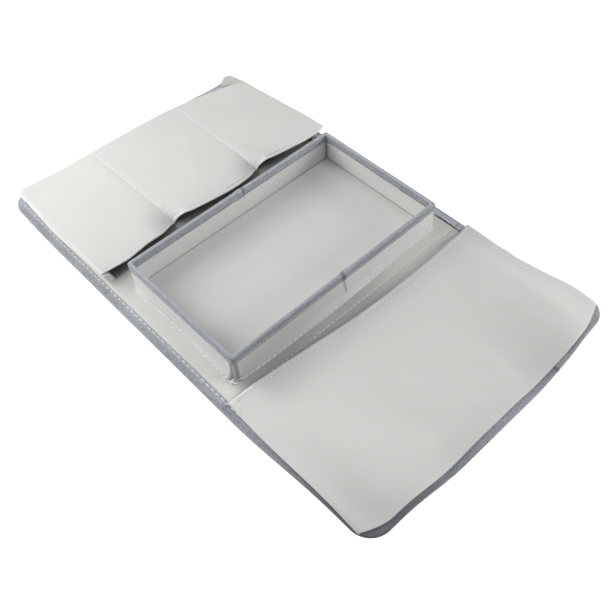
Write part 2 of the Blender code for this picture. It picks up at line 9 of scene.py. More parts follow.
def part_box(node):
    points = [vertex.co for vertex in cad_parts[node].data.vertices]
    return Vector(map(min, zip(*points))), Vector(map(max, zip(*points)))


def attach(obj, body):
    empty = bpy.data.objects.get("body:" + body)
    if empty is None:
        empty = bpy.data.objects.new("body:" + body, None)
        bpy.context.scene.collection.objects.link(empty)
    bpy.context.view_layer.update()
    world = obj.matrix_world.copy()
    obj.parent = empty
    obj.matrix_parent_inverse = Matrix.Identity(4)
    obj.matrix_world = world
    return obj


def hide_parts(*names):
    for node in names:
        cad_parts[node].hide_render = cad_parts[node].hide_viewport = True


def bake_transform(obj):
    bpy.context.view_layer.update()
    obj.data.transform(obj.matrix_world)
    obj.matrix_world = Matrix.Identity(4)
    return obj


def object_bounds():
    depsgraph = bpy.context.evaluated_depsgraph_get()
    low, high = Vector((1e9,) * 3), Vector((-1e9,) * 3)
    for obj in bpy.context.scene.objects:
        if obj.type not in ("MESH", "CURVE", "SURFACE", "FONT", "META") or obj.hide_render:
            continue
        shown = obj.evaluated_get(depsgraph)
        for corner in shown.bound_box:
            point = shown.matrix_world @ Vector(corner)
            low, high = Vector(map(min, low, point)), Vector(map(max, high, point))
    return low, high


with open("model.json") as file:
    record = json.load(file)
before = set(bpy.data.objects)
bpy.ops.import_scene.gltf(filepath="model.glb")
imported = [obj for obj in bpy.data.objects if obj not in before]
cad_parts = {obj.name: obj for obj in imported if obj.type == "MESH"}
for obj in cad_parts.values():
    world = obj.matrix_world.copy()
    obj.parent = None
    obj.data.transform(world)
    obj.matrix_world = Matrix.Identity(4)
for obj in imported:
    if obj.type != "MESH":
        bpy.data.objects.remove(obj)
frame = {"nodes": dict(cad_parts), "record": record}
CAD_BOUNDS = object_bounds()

bl_info = {
    "name": "Sofa Armrest Organizer",
    "version": (1, 0, 0),
    "blender": (4, 5, 0),
    "location": "View3D > Sidebar > Organizer",
    "description": "Cloth, tape, stitching and stage for a sofa armrest organizer",
    "category": "Object",
}

MM = 0.001
MAT_LOW, MAT_HIGH = CAD_BOUNDS
RIM_LOW, RIM_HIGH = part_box("tray_rim_binding")
FOLDS = {joint["child"]: joint for joint in frame["record"]["behaviour"]["joints"]}
FOLD_X = FOLDS["right_panel"]["pos_m"][0]
BEND_ROOM = 0.9 * MM
BOARD_INSET = 10.8 * MM
RIB_SPACING = 2.4 * MM
WEFT_SPACING = 2.1 * MM
PLY_SPACING = 0.4 * MM
FLOOR_DROP = 0.3 * MM
FLOOR_HALF_WIDTH = 6.0


# ---------------------------------------------------------------- sizes and colours


def length_property(label, about, value):
    """A length in metres that a user can change."""
    return bpy.props.FloatProperty(
        name=label, description=about, default=value, min=0.0, precision=4, subtype="DISTANCE", unit="LENGTH"
    )


def colour_property(label, about, value):
    """A colour that a user can change."""
    return bpy.props.FloatVectorProperty(
        name=label, description=about, default=value, min=0.0, max=1.0, size=3, subtype="COLOR"
    )


class OrganizerSizes(bpy.types.PropertyGroup):
    corner_radius: length_property("Corner radius", "Radius of the mat's corners at the edge of the tape", 24 * MM)
    tape_width: length_property("Tape width", "How far the edge tape reaches in over the mat", 10.5 * MM)
    tape_thickness: length_property("Tape thickness", "Thickness of the binding tape", 0.6 * MM)
    edge_height: length_property("Edge height", "Height of the bound edge, tape included", 3.9 * MM)
    cloth_thickness: length_property("Cloth thickness", "Thickness of the mat and pocket cloth", 0.9 * MM)
    thin_cloth: length_property("Tray cloth thickness", "Thickness of the tray and gusset cloth", 0.5 * MM)
    mat_height: length_property("Mat height", "Top of the lining where the board fills the mat", 4.4 * MM)
    far_curl: length_property("Right corner curl", "How far the right panel's outer corners rise", 20 * MM)
    near_lift: length_property("Left corner lift", "How far the left panel's near corner rises", 9 * MM)
    rim_depth: length_property("Rim tape depth", "How far the rim tape reaches down the tray's walls", 10 * MM)
    rim_width: length_property("Rim tape span", "Width of the rim over wall, cloth and tape", 4.6 * MM)
    tape_stitch: length_property("Tape stitch", "Distance from one stitch to the next on the edge tape", 7.8 * MM)
    wall_stitch: length_property("Wall stitch", "Distance from one stitch to the next on the tray's walls", 7.2 * MM)
    fold_stitch: length_property("Fold stitch", "Distance from one stitch to the next on the fold lines", 6.3 * MM)
    hem_stitch: length_property("Hem stitch", "Distance from one stitch to the next on the pockets", 5.5 * MM)
    rim_stitch: length_property("Rim stitch", "Distance from one stitch to the next on the rim tape", 3.4 * MM)
    thread_radius: length_property("Thread radius", "Half the thickness of the sewing thread", 0.50 * MM)


class OrganizerColours(bpy.types.PropertyGroup):
    pocket_cloth: colour_property("Pocket cloth", "Light grey cloth of the pockets", (0.60, 0.602, 0.583))
    mat_cloth: colour_property("Mat cloth", "Light grey cloth of the lining", (0.60, 0.60, 0.58))
    tray_cloth: colour_property("Tray cloth", "Light grey cloth of the tray", (0.60, 0.60, 0.585))
    back_cloth: colour_property("Back cloth", "Grey cloth of the underside", (0.50, 0.51, 0.50))
    tape: colour_property("Binding tape", "Blue-grey ribbed tape", (0.345, 0.365, 0.395))
    thread: colour_property("Thread", "Light grey sewing thread", (0.88, 0.885, 0.88))
    board: colour_property("Board", "Hidden greyboard", (0.45, 0.36, 0.25))
    floor: colour_property("Floor", "Pale floor", (0.86, 0.86, 0.86))


# ---------------------------------------------------------------- shape helpers


def smooth(t):
    """Smooth step: 3 t squared less 2 t cubed, with t held between 0 and 1."""
    t = np.clip(t, 0.0, 1.0)
    return t * t * (3.0 - 2.0 * t)


def mix(a, b, share):
    """Straight mix from a to b by share."""
    return a + (b - a) * share


def bell(distance, width):
    """A bell curve: e to the power of minus the square of distance over width."""
    return np.exp(-((distance / width) ** 2))


def ripple(x, y, seed, wavelength):
    """Soft unevenness between about -1 and 1: the sum of seven sine waves in seeded directions, near one wavelength."""
    rng = np.random.default_rng(seed)
    turn = rng.uniform(0, math.tau, 7)
    count = math.tau / wavelength * rng.uniform(0.6, 1.5, 7)
    phase = rng.uniform(0, math.tau, 7)
    x, y = np.broadcast_arrays(x, y)
    waves = np.sin(x[..., None] * np.cos(turn) * count + y[..., None] * np.sin(turn) * count + phase)
    return waves.sum(-1) / 3.5


def through(at, places, values):
    """A smooth curve through given values: on each span a cubic whose end slopes are those of the chords beside
    them."""
    places, values = np.asarray(places, float), np.asarray(values, float)
    slope = np.gradient(values, places)
    span = np.clip(np.searchsorted(places, at, side="right") - 1, 0, len(places) - 2)
    width = places[span + 1] - places[span]
    t = np.clip((at - places[span]) / width, 0, 1)
    ahead = t * t * (3 - 2 * t)
    bend = slope[span] * (t**3 - 2 * t**2 + t) + slope[span + 1] * (t**3 - t**2)
    return mix(values[span], values[span + 1], ahead) + width * bend


def spread(low, high, step, tight=()):
    """Positions from low to high at about one step, and finer within each (place, reach, fine step) of tight."""
    places = [np.linspace(low, high, max(2, round((high - low) / step) + 1))]
    for place, reach, fine in tight:
        start, stop = max(low, place - reach), min(high, place + reach)
        coarse = places[0]
        places[0] = coarse[(coarse < start - 0.4 * fine) | (coarse > stop + 0.4 * fine)]
        places.append(np.linspace(start, stop, max(2, round((stop - start) / fine) + 1)))
    return np.unique(np.round(np.concatenate(places + [np.array([low, high])]), 7))


def unit(vectors):
    """Each vector over its own length."""
    return vectors / np.maximum(np.linalg.norm(vectors, axis=-1, keepdims=True), 1e-12)


def grid(*parts):
    """Points from their coordinates, each spread over the shape of all of them."""
    return np.stack(np.broadcast_arrays(*parts), -1)


def patches(here, ahead):
    """Four-sided faces between rows of vertex numbers and the rows ahead of them."""
    return np.stack([here[:, :-1], ahead[:, :-1], ahead[:, 1:], here[:, 1:]], -1).reshape(-1, 4)


def tube_faces(ring):
    """Four-sided faces round a tube, between each ring of vertex numbers and the next."""
    turned = np.roll(ring, -1, 1)
    return np.stack([ring[:-1], turned[:-1], turned[1:], ring[1:]], -1).reshape(-1, 4)


def distance_along(line):
    """Distance from a line's first point to each of its points: the running sum of the steps' lengths."""
    return np.concatenate([[0.0], np.cumsum(np.linalg.norm(np.diff(line, axis=0), axis=1))])


def surface_normals(points, closed):
    """Unit normals of a grid: the cross product of its step along the rows and its step along the columns."""
    if closed:
        along = np.roll(points, -1, 0) - np.roll(points, 1, 0)
    else:
        along = np.gradient(points, axis=0)
    return unit(np.cross(along, np.gradient(points, axis=1)))


def mesh_object(name, points, faces, finish, uv=None, values=(), period=None):
    """A smooth mesh object at the origin. uv is per vertex, and is unwrapped over a closed seam of one period."""
    mesh = bpy.data.meshes.new(name)
    mesh.from_pydata(points.tolist(), [], faces)
    mesh.shade_smooth()
    if uv is not None:
        corner = np.empty(len(mesh.loops), np.int32)
        mesh.loops.foreach_get("vertex_index", corner)
        flat = uv[corner]
        if period is not None:
            quads = flat.reshape(-1, 4, 2)
            seam = np.ptp(quads[:, :, 0], axis=1) > period / 2
            quads[seam, :, 0] += np.where(quads[seam, :, 0] < period / 2, period, 0.0)
        layer = mesh.uv_layers.new(name="TapeMetres")
        layer.uv.foreach_set("vector", flat.astype(np.float32).ravel())
    for label, value in dict(values).items():
        attribute = mesh.attributes.new(label, "FLOAT", "POINT")
        attribute.data.foreach_set("value", value.astype(np.float32))
    mesh.materials.append(bpy.data.materials[finish])
    made = bpy.data.objects.new(name, mesh)
    bpy.context.scene.collection.objects.link(made)
    return made


def cloth_piece(name, points, thickness, finish, closed=False, wear=None, soil=None, uv=None, period=None):
    """A closed sheet. The grid is its outer face, a second face lies one thickness behind it along the normals,
    and a half-round edge of three lines, at 45, 90 and 135 degrees, joins the two."""
    rows, columns = points.shape[:2]
    normal = surface_normals(points, closed)
    back = points - normal * thickness
    index = np.arange(rows * columns).reshape(rows, columns)
    ahead = np.roll(index, -1, 0) if closed else index[1:]
    here = index if closed else index[:-1]
    outer = patches(here, ahead)
    out = np.zeros_like(points)
    out[:, 0] += unit(points[:, 0] - points[:, 1])
    out[:, -1] += unit(points[:, -1] - points[:, -2])
    if closed:
        loops = [index[:, 0], index[::-1, -1]]
    else:
        out[0] += unit(points[0] - points[1])
        out[-1] += unit(points[-1] - points[-2])
        loops = [np.concatenate([index[:, 0], index[-1, 1:], index[-2::-1, -1], index[0, -2:0:-1]])]
    out = unit(out).reshape(-1, 3)
    flat_normal = normal.reshape(-1, 3)
    middle = (points - normal * (thickness / 2)).reshape(-1, 3)
    points = points.reshape(-1, 3)
    vertices = [points, back.reshape(-1, 3)]
    origin = [index.ravel(), index.ravel()]
    faces = [outer, outer[:, ::-1] + rows * columns]
    total = 2 * rows * columns
    for loop in loops:
        lines = [loop]
        for angle in (45, 90, 135):
            lean, rise = math.sin(math.radians(angle)), math.cos(math.radians(angle))
            vertices.append(middle[loop] + (out[loop] * lean + flat_normal[loop] * rise) * (thickness / 2))
            origin.append(loop)
            lines.append(np.arange(total, total + len(loop)))
            total += len(loop)
        lines.append(loop + rows * columns)
        for first, second in zip(lines, lines[1:]):
            faces.append(np.stack([np.roll(first, -1), first, second, np.roll(second, -1)], -1))
    origin = np.concatenate(origin)
    values = {}
    for label, value in (("wear", wear), ("soil", soil)):
        if value is not None:
            values[label] = np.broadcast_to(value, (rows, columns)).ravel()[origin]
    flat_uv = None if uv is None else uv.reshape(-1, 2)[origin]
    shape = drawn_in(np.concatenate(vertices))
    return mesh_object(name, shape, np.concatenate(faces).tolist(), finish, flat_uv, values, period)


def follow(line, up, places):
    """Points, upward directions and tangents of a line at distances along it, by straight interpolation."""
    steps = distance_along(line)
    here = np.stack([np.interp(places, steps, line[:, k]) for k in range(3)], -1)
    above = unit(np.stack([np.interp(places, steps, up[:, k]) for k in range(3)], -1))
    ahead = np.stack([np.interp(places + 2e-4, steps, line[:, k]) for k in range(3)], -1)
    behind = np.stack([np.interp(places - 2e-4, steps, line[:, k]) for k in range(3)], -1)
    return here, above, unit(ahead - behind)


def line_length(line):
    """Length of a line: the sum of its steps."""
    return float(np.linalg.norm(np.diff(line, axis=0), axis=1).sum())


def stitches(name, rows, radius, finish="Sewing thread", fill=0.74):
    """Rows of stitches, each a line, its upward directions and a pitch. Each stitch is a six-sided capsule along its
    line: its radius falls from the middle to the ends as one less the square of the share, and its middle stands over
    the cloth while its ends sink into it."""
    share = np.array([-1.0, -0.82, -0.45, 0.0, 0.45, 0.82, 1.0])
    size = np.array([0.35, 0.78, 0.98, 1.0, 0.98, 0.78, 0.35])
    lift = np.array([-1.0, -0.15, 0.35, 0.5, 0.35, -0.15, -1.0])
    turn = np.arange(6) * math.tau / 6
    ring = np.arange(len(share) * 6).reshape(len(share), 6)
    side = tube_faces(ring)
    points, quads, caps, total = [], [], [], 0
    for line, up, pitch in rows:
        count = max(1, int(line_length(line) / pitch))
        middle = (np.arange(count) + 0.5) * (line_length(line) / count)
        places = middle[:, None] + share * (pitch * fill / 2)
        here, above, tangent = follow(line, up, places.ravel())
        across = unit(np.cross(tangent, above))
        above = np.cross(across, tangent)
        height = np.tile(lift, count)[:, None] * radius
        thick = np.tile(size, count)[:, None, None] * radius
        round_it = across[:, None, :] * np.cos(turn)[:, None] + above[:, None, :] * np.sin(turn)[:, None]
        shape = (here + above * height)[:, None, :] + round_it * thick
        base = total + np.arange(count)[:, None, None] * ring.size
        points.append(shape.reshape(-1, 3))
        quads.append((base + side).reshape(-1, 4))
        caps.append((base[:, 0] + ring[0]).reshape(-1, 6))
        caps.append((base[:, 0] + ring[-1][::-1]).reshape(-1, 6))
        total += count * ring.size
    faces = np.concatenate(quads)[:, ::-1].tolist() + np.concatenate(caps)[:, ::-1].tolist()
    return mesh_object(name, drawn_in(np.concatenate(points)), faces, finish)


def thread_end(name, line, radius, finish="Sewing thread"):
    """A loose thread: an eight-sided tube along a smooth line, rounded off at both ends by a quarter circle."""
    line = np.array(line, float)
    knots = np.linspace(0, 1, len(line))
    share = np.linspace(0, 1, 4 * len(line))
    centre = np.stack([np.interp(share, knots, line[:, k]) for k in range(3)], -1)
    for _ in range(3):
        centre[1:-1] = (centre[:-2] + 2 * centre[1:-1] + centre[2:]) / 4
    tangent = unit(np.gradient(centre, axis=0))
    across = unit(np.cross(tangent, np.array([0.31, 0.12, 0.94])))
    above = np.cross(across, tangent)
    turn = np.arange(8) * math.tau / 8
    size = np.sqrt(np.clip(1 - (2 * share - 1) ** 12, 0.04, 1))[:, None, None] * radius
    shape = centre[:, None] + (across[:, None] * np.cos(turn)[:, None] + above[:, None] * np.sin(turn)[:, None]) * size
    ring = np.arange(shape.shape[0] * 8).reshape(-1, 8)
    faces = tube_faces(ring)[:, ::-1].tolist() + [ring[0].tolist(), ring[-1][::-1].tolist()]
    return mesh_object(name, drawn_in(shape.reshape(-1, 3)), faces, finish)


# ---------------------------------------------------------------- the mat's shape


def tape_pull(points):
    """How far the tape draws the mat in under the pockets, as a step to take off each point: nearly 4 mm in X at the
    left corners, 1.5 mm in Y along the left panel's far edge, 3.2 mm beside its mouth and 3.5 mm along the right
    one's, by smooth steps."""
    x, y = points[..., 0], points[..., 1]
    left = 3.8 * MM * smooth((-y - 0.115) / 0.045) + 3.5 * MM * smooth((y - 0.080) / 0.060)
    far = 1.5 * MM * smooth((-x - 0.190) / 0.030) * smooth((y - 0.130) / 0.030)
    far = far + 3.2 * MM * smooth((x + 0.150) / 0.030) * smooth((-0.060 - x) / 0.030) * smooth((y - 0.150) / 0.018)
    far = far + 3.5 * MM * smooth((x - 0.165) / 0.025) * smooth((0.280 - x) / 0.030) * smooth((y - 0.120) / 0.040)
    return np.stack([-left * smooth((-x - 0.255) / 0.030), far, np.zeros_like(x)], -1)


def curl_share(x, y):
    """Share of the right corners' curl: the product of a smooth step outwards in X and one in Y."""
    return smooth((x - 0.115) / 0.140) * smooth((y - 0.050) / 0.085)


def drawn_in(points):
    """The tape's pull, and where the far right corner curls up to 4 mm more in X and 5 mm in Y, each a product of
    smooth steps towards the corner."""
    x, y = points[:, 0], points[:, 1]
    in_x = 4 * MM * smooth((x - 0.200) / 0.080) * smooth((y - 0.100) / 0.060)
    return points - np.stack([in_x, 5 * MM * curl_share(x, y), np.zeros_like(x)], -1) - tape_pull(points)


def corner_rise(x, y, s):
    """How far the mat lies over the floor. Right: the curl by its share on both sides. Left: the lift by smooth steps
    outwards in X and towards the near side."""
    lift = s.near_lift * smooth((-x - 0.200) / 0.100) * smooth((-y - 0.070) / 0.105)
    return np.where(x > 0, s.far_curl * curl_share(x, np.abs(y)), lift)


def mat_inset(x, y, s):
    """Distance in from the mat's rounded outline: the radius, less the reach past the corner's centre."""
    past_x = np.abs(x) - (MAT_HIGH.x - s.corner_radius)
    past_y = np.abs(y) - (-MAT_LOW.y - s.corner_radius)
    outside = np.hypot(np.maximum(past_x, 0), np.maximum(past_y, 0))
    return s.corner_radius - outside - np.minimum(np.maximum(past_x, past_y), 0)


def fullness(x, y, s):
    """One where the board fills the mat, zero where the tape presses it flat and 0.68 on a fold line, by two smooth
    steps."""
    edge = smooth((mat_inset(x, y, s) - BOARD_INSET) / (3 * MM))
    fold = smooth((np.abs(np.abs(x) - FOLD_X) - 0.9 * MM) / (3.5 * MM))
    return edge * (0.68 + 0.32 * fold)


def lining_top(x, y, s):
    """Top of the lining: pressed height to full height by fullness, a little puffed, on the mat's rise."""
    full = fullness(x, y, s)
    under_tray = smooth((0.096 - np.abs(x)) / 0.006) * smooth((0.152 - np.abs(y)) / 0.006)
    puff = (0.22 + 0.16 * ripple(x, y, 3, 0.05)) * full * (1 - under_tray) * MM
    pressed = s.mat_height - 1.4 * MM
    return mix(pressed, s.mat_height, full) + puff + corner_rise(x, y, s)


OVERLAP = 0.6 * MM


def mat_grid(side, s):
    """Grid of one half of the mat inside the tape's bend, from just past X 0: X by Y, where Y is a share of the rounded
    outline's reach."""
    end = MAT_HIGH.x - BEND_ROOM
    radius = s.corner_radius - BEND_ROOM
    x = spread(-OVERLAP, end, 4 * MM, [(FOLD_X, 7 * MM, 0.5 * MM), (end, 26 * MM, 0.9 * MM), (0, 2 * MM, 0.5 * MM)])
    turn = np.linspace(0, math.pi / 2, 9)[1:-1]
    x = np.unique(np.concatenate([x, end - radius + radius * np.sin(turn)[-4:]]))
    reach = -MAT_LOW.y - BEND_ROOM
    past = np.clip(x - (end - radius), 0, radius)
    half = reach - radius + np.sqrt(np.maximum(radius**2 - past**2, 0))
    y = spread(-reach, reach, 4 * MM, [(-reach, 26 * MM, 0.9 * MM), (reach, 26 * MM, 0.9 * MM)]) / reach
    if side < 0:
        x, half = -x[::-1], half[::-1]
    return np.broadcast_to(x[:, None], (len(x), len(y))), half[:, None] * y[None, :]


def half_path(side, s, step=1.3 * MM):
    """The mat's outline from just past X 0 round one end and back, against the clock, with the way in at each point."""
    half_x, half_y, radius = MAT_HIGH.x, -MAT_LOW.y, s.corner_radius
    straight = spread(-OVERLAP, half_x - radius, step, [(FOLD_X, 6 * MM, 0.6 * MM)])
    arc = np.linspace(-math.pi / 2, 0, 36)[1:-1]
    climb = np.arange(-(half_y - radius), half_y - radius + step / 2, step)
    climb = np.linspace(climb[0], half_y - radius, len(climb))
    x = [straight, half_x - radius + radius * np.cos(arc), np.full(len(climb), half_x)]
    y = [np.full(len(straight), -half_y), -(half_y - radius) + radius * np.sin(arc), climb]
    way_x = [np.zeros(len(straight)), -np.cos(arc), np.full(len(climb), -1.0)]
    way_y = [np.ones(len(straight)), -np.sin(arc), np.zeros(len(climb))]
    x += [x[1][::-1], x[0][::-1]]
    y += [-y[1][::-1], -y[0][::-1]]
    way_x += [way_x[1][::-1], way_x[0][::-1]]
    way_y += [-way_y[1][::-1], -way_y[0][::-1]]
    outline = np.stack([np.concatenate(x), np.concatenate(y)], -1) * side
    inward = np.stack([np.concatenate(way_x), np.concatenate(way_y)], -1) * side
    return outline, inward


def blend_over_fold(piece):
    """Bakes a piece's transform into its mesh."""
    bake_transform(piece)


def sides():
    """Both ends of the mat: sign, word and panel."""
    return ((-1, "left", "left_panel"), (1, "right", "right_panel"))


# ---------------------------------------------------------------- finishes


class Nodes:
    """Adds nodes to the tree of a material or a world. A node's output given as an input is linked to it, and a number
    or a colour is set on it."""

    def __init__(self, owner, shader="Principled BSDF"):
        owner.use_nodes = True
        self.tree = owner.node_tree
        self.shader = self.tree.nodes[shader]

    def fill(self, node, inputs):
        """Links or sets a node's inputs, and gives the node back."""
        for key, value in dict(inputs).items():
            if isinstance(value, bpy.types.NodeSocket):
                self.tree.links.new(value, node.inputs[key])
            else:
                node.inputs[key].default_value = value
        return node

    def add(self, kind, inputs=(), **settings):
        """A new node with its settings and inputs."""
        node = self.tree.nodes.new(kind)
        for key, value in settings.items():
            setattr(node, key, value)
        return self.fill(node, inputs)

    def math(self, operation, first, second):
        """The result of one operation on two numbers."""
        return self.add("ShaderNodeMath", {0: first, 1: second}, operation=operation).outputs[0]

    def scaled(self, value, low, high):
        """value from 0 to 1 mapped to low to high."""
        return self.add("ShaderNodeMapRange", {"Value": value, "To Min": low, "To Max": high}).outputs["Result"]

    def blend(self, share, first, second, kind="MIX"):
        """A colour between first and second by share."""
        node = self.add("ShaderNodeMix", {0: share}, data_type="RGBA", blend_type=kind)
        return self.fill(node, {6: first, 7: second}).outputs[2]

    def place(self):
        """Object coordinates, in metres."""
        return self.add("ShaderNodeTexCoord").outputs["Object"]

    def painted(self, label):
        """A value from 0 to 1 that a cloth piece carries at its points."""
        return self.add("ShaderNodeAttribute", attribute_name=label).outputs["Fac"]

    def noise(self, place, scale, detail, roughness=0.5, distortion=0.0):
        """Clouds from 0 to 1, about scale of them in a metre."""
        inputs = {"Vector": place, "Scale": scale, "Detail": detail, "Roughness": roughness, "Distortion": distortion}
        return self.add("ShaderNodeTexNoise", inputs).outputs[0]

    def bands(self, place, spacing, distortion, direction, shift=0.0):
        """Light and dark bands at a spacing in metres: a wave's scale is a whole turn over 20 over the spacing."""
        inputs = {"Vector": place, "Scale": math.tau / 20 / spacing, "Distortion": distortion, "Detail": 1.0}
        node = self.add("ShaderNodeTexWave", inputs, bands_direction=direction)
        return self.fill(node, {"Phase Offset": shift}).outputs["Fac"]

    def seen(self):
        """One for camera, glossy and transmission rays and zero for the rest: the largest of the three."""
        path = self.add("ShaderNodeLightPath")
        seen = path.outputs["Is Camera Ray"]
        for ray in ("Is Glossy Ray", "Is Transmission Ray"):
            seen = self.math("MAXIMUM", seen, path.outputs[ray])
        return seen

    def finish(self, tone, roughness, height, strength, distance, **more):
        """Links tone, roughness and a bump of the given height to the shader, and sets the sheen and gloss given."""
        bump = self.add("ShaderNodeBump", {"Height": height, "Strength": strength, "Distance": distance})
        self.fill(self.shader, {"Base Color": tone, "Roughness": roughness, "Normal": bump.outputs[0]})
        names = {"sheen": "Sheen Weight", "sheen_roughness": "Sheen Roughness", "gloss": "Specular IOR Level"}
        self.fill(self.shader, {names[key]: value for key, value in more.items()})


def new_material(name):
    """The nodes of a new material."""
    return Nodes(bpy.data.materials.new(name))


def tint(colour, factor):
    """A colour times a factor, with no channel over 1."""
    return (min(colour[0] * factor, 1), min(colour[1] * factor, 1), min(colour[2] * factor, 1), 1)


def cloth_finish(name, colour, grain, relief):
    """Non-woven cloth: soft clouds of tone, matted fibres, a fine pressed dimple pattern, paler places that are partly
    worn and partly painted highlight, and darker places of painted shade."""
    made = new_material(name)
    place = made.place()
    clouds = made.noise(place, 16.0, 3.0, 0.55)
    specks = made.noise(place, 620.0, 4.0, 0.7)
    fibres = made.noise(place, 240.0, 5.0, 0.65, 2.2)
    dimples = made.add("ShaderNodeTexVoronoi", {"Vector": place, "Scale": 900.0, "Randomness": 0.55}, feature="F1")
    tone = made.blend(clouds, tint(colour, 0.955), tint(colour, 1.045))
    speckled = made.scaled(specks, 1 - grain, 1 + grain)
    grey = made.add("ShaderNodeCombineColor", {0: speckled, 1: speckled, 2: speckled}).outputs[0]
    tone = made.blend(1.0, tone, grey, "MULTIPLY")
    tone = made.blend(made.scaled(fibres, 0.0, 0.16), tone, tint(colour, 1.22))
    # Paler where a piece carries this value: partly worn cloth, partly painted highlight.
    tone = made.blend(made.math("MULTIPLY", made.painted("wear"), 0.5), tone, tint(colour, 1.14))
    # Painted shade: the cloth is darkened where a piece carries this value.
    tone = made.blend(made.painted("soil"), tone, tint(colour, 0.27))
    height = made.math("ADD", made.math("MULTIPLY", dimples.outputs["Distance"], 0.7), fibres)
    rough = made.scaled(fibres, 0.80, 0.98)
    made.finish(tone, rough, height, relief, 0.18 * MM, sheen=0.12, sheen_roughness=0.55, gloss=0.22)


def tape_finish(name, colour):
    """Woven tape: ribs across it, set half a rib on in every other thread along it, so that it reads as a plain weave,
    with tone that drifts, stray fibres, paler places that are partly worn and partly painted highlight, and painted
    shade."""
    made = new_material(name)
    metres = made.add("ShaderNodeUVMap", uv_map="TapeMetres").outputs[0]
    place = made.place()
    threads = made.bands(metres, WEFT_SPACING, 0.25, "Y")
    shift = made.math("MULTIPLY", made.math("GREATER_THAN", threads, 0.5), math.pi)
    ribs = made.bands(metres, RIB_SPACING, 0.5, "X", shift)
    tone = made.blend(made.noise(place, 34.0, 4.0, 0.6), tint(colour, 0.84), tint(colour, 1.20))
    tone = made.blend(made.scaled(ribs, 0.85, 0.0), tone, tint(colour, 0.30))
    slubs = made.noise(place, 260.0, 2.0, 0.6)
    specks = made.noise(place, 620.0, 4.0, 0.75)
    for spots, start, gain, factor in ((slubs, 0.47, 2.0, 1.22), (specks, 0.45, 2.2, 1.55)):
        lit = made.math("MULTIPLY", made.math("SUBTRACT", spots, start), gain)
        tone = made.blend(made.add("ShaderNodeClamp", {0: lit}).outputs[0], tone, tint(colour, factor))
    # Paler where a piece carries this value: partly worn tape, partly painted highlight.
    tone = made.blend(made.math("MULTIPLY", made.painted("wear"), 0.65), tone, tint(colour, 1.65))
    # Painted shade: the tape is darkened where a piece carries this value.
    tone = made.blend(made.painted("soil"), tone, tint(colour, 0.35))
    height = made.math("ADD", ribs, made.math("MULTIPLY", threads, 0.5))
    rough = made.scaled(threads, 0.62, 0.82)
    made.finish(tone, rough, height, 0.7, 0.28 * MM, sheen=0.10, sheen_roughness=0.4, gloss=0.3)


def thread_finish(name, colour):
    """Spun thread: a fine twist of lighter and darker plies with a slight silky gloss."""
    made = new_material(name)
    place = made.place()
    twist = made.bands(place, PLY_SPACING, 1.5, "DIAGONAL")
    dust = made.noise(place, 55.0, 2.0)
    tone = made.blend(twist, tint(colour, 0.80), tint(colour, 1.08))
    tone = made.blend(made.scaled(dust, 0.0, 0.25), tone, tint(colour, 0.72))
    made.finish(tone, made.scaled(dust, 0.50, 0.70), twist, 0.5, 0.1 * MM, sheen=0.1)


def board_finish(name, colour):
    """Greyboard: short pressed fibres, paper flecks and a dull surface."""
    made = new_material(name)
    place = made.place()
    fibres = made.noise(place, 260.0, 6.0, 0.7, 3.0)
    flecks = made.add("ShaderNodeTexVoronoi", {"Vector": place, "Scale": 420.0})
    tone = made.blend(fibres, tint(colour, 0.8), tint(colour, 1.2))
    tone = made.blend(made.scaled(flecks.outputs["Distance"], 0.3, 0.0), tone, tint(colour, 0.55))
    made.finish(tone, made.scaled(fibres, 0.82, 0.96), fibres, 0.3, 0.2 * MM)


def floor_finish(name, colour):
    """Pale floor that shows near white to the camera and in reflections, whiter away from the object, and keeps the
    object's soft shadow."""
    made = new_material(name)
    place = made.place()
    tone = made.blend(made.noise(place, 60.0, 3.0), tint(colour, 0.995), tint(colour, 1.005))
    away = made.add("ShaderNodeVectorMath", {0: place}, operation="LENGTH").outputs["Value"]
    shown = {"Value": away, "From Min": 0.7, "From Max": 1.8, "To Min": 0.72, "To Max": 1.0}
    shown = made.math("MULTIPLY", made.seen(), made.add("ShaderNodeMapRange", shown).outputs["Result"])
    glow = {"Emission Color": (1, 1, 1, 1), "Emission Strength": shown}
    made.fill(made.shader, {"Base Color": tone, "Roughness": 0.9, "Specular IOR Level": 0.0, **glow})


class ORGANIZER_OT_finishes(bpy.types.Operator):
    """Make the cloth, tape, thread, board and floor materials"""

    bl_idname = "organizer.finishes"
    bl_label = "Finishes"

    def execute(self, context):
        c = context.scene.organizer_colours
        cloth_finish("Pocket cloth", c.pocket_cloth, 0.035, 0.35)
        cloth_finish("Mat cloth", c.mat_cloth, 0.045, 0.40)
        cloth_finish("Tray cloth", c.tray_cloth, 0.060, 0.45)
        cloth_finish("Back cloth", c.back_cloth, 0.045, 0.45)
        tape_finish("Binding tape", c.tape)
        thread_finish("Sewing thread", c.thread)
        thread_finish("Dark thread", [0.45 * a for a in c.tape])
        board_finish("Greyboard", c.board)
        floor_finish("Pale floor", c.floor)
        return {"FINISHED"}


# ---------------------------------------------------------------- boards


class ORGANIZER_OT_boards(bpy.types.Operator):
    """Give the stiffening boards their greyboard finish"""

    bl_idname = "organizer.boards"
    bl_label = "Boards"

    def execute(self, context):
        for name, node in frame["nodes"].items():
            if "board" not in name:
                continue
            node.data.materials.clear()
            node.data.materials.append(bpy.data.materials["Greyboard"])
        return {"FINISHED"}


# ---------------------------------------------------------------- mat cloth and tape


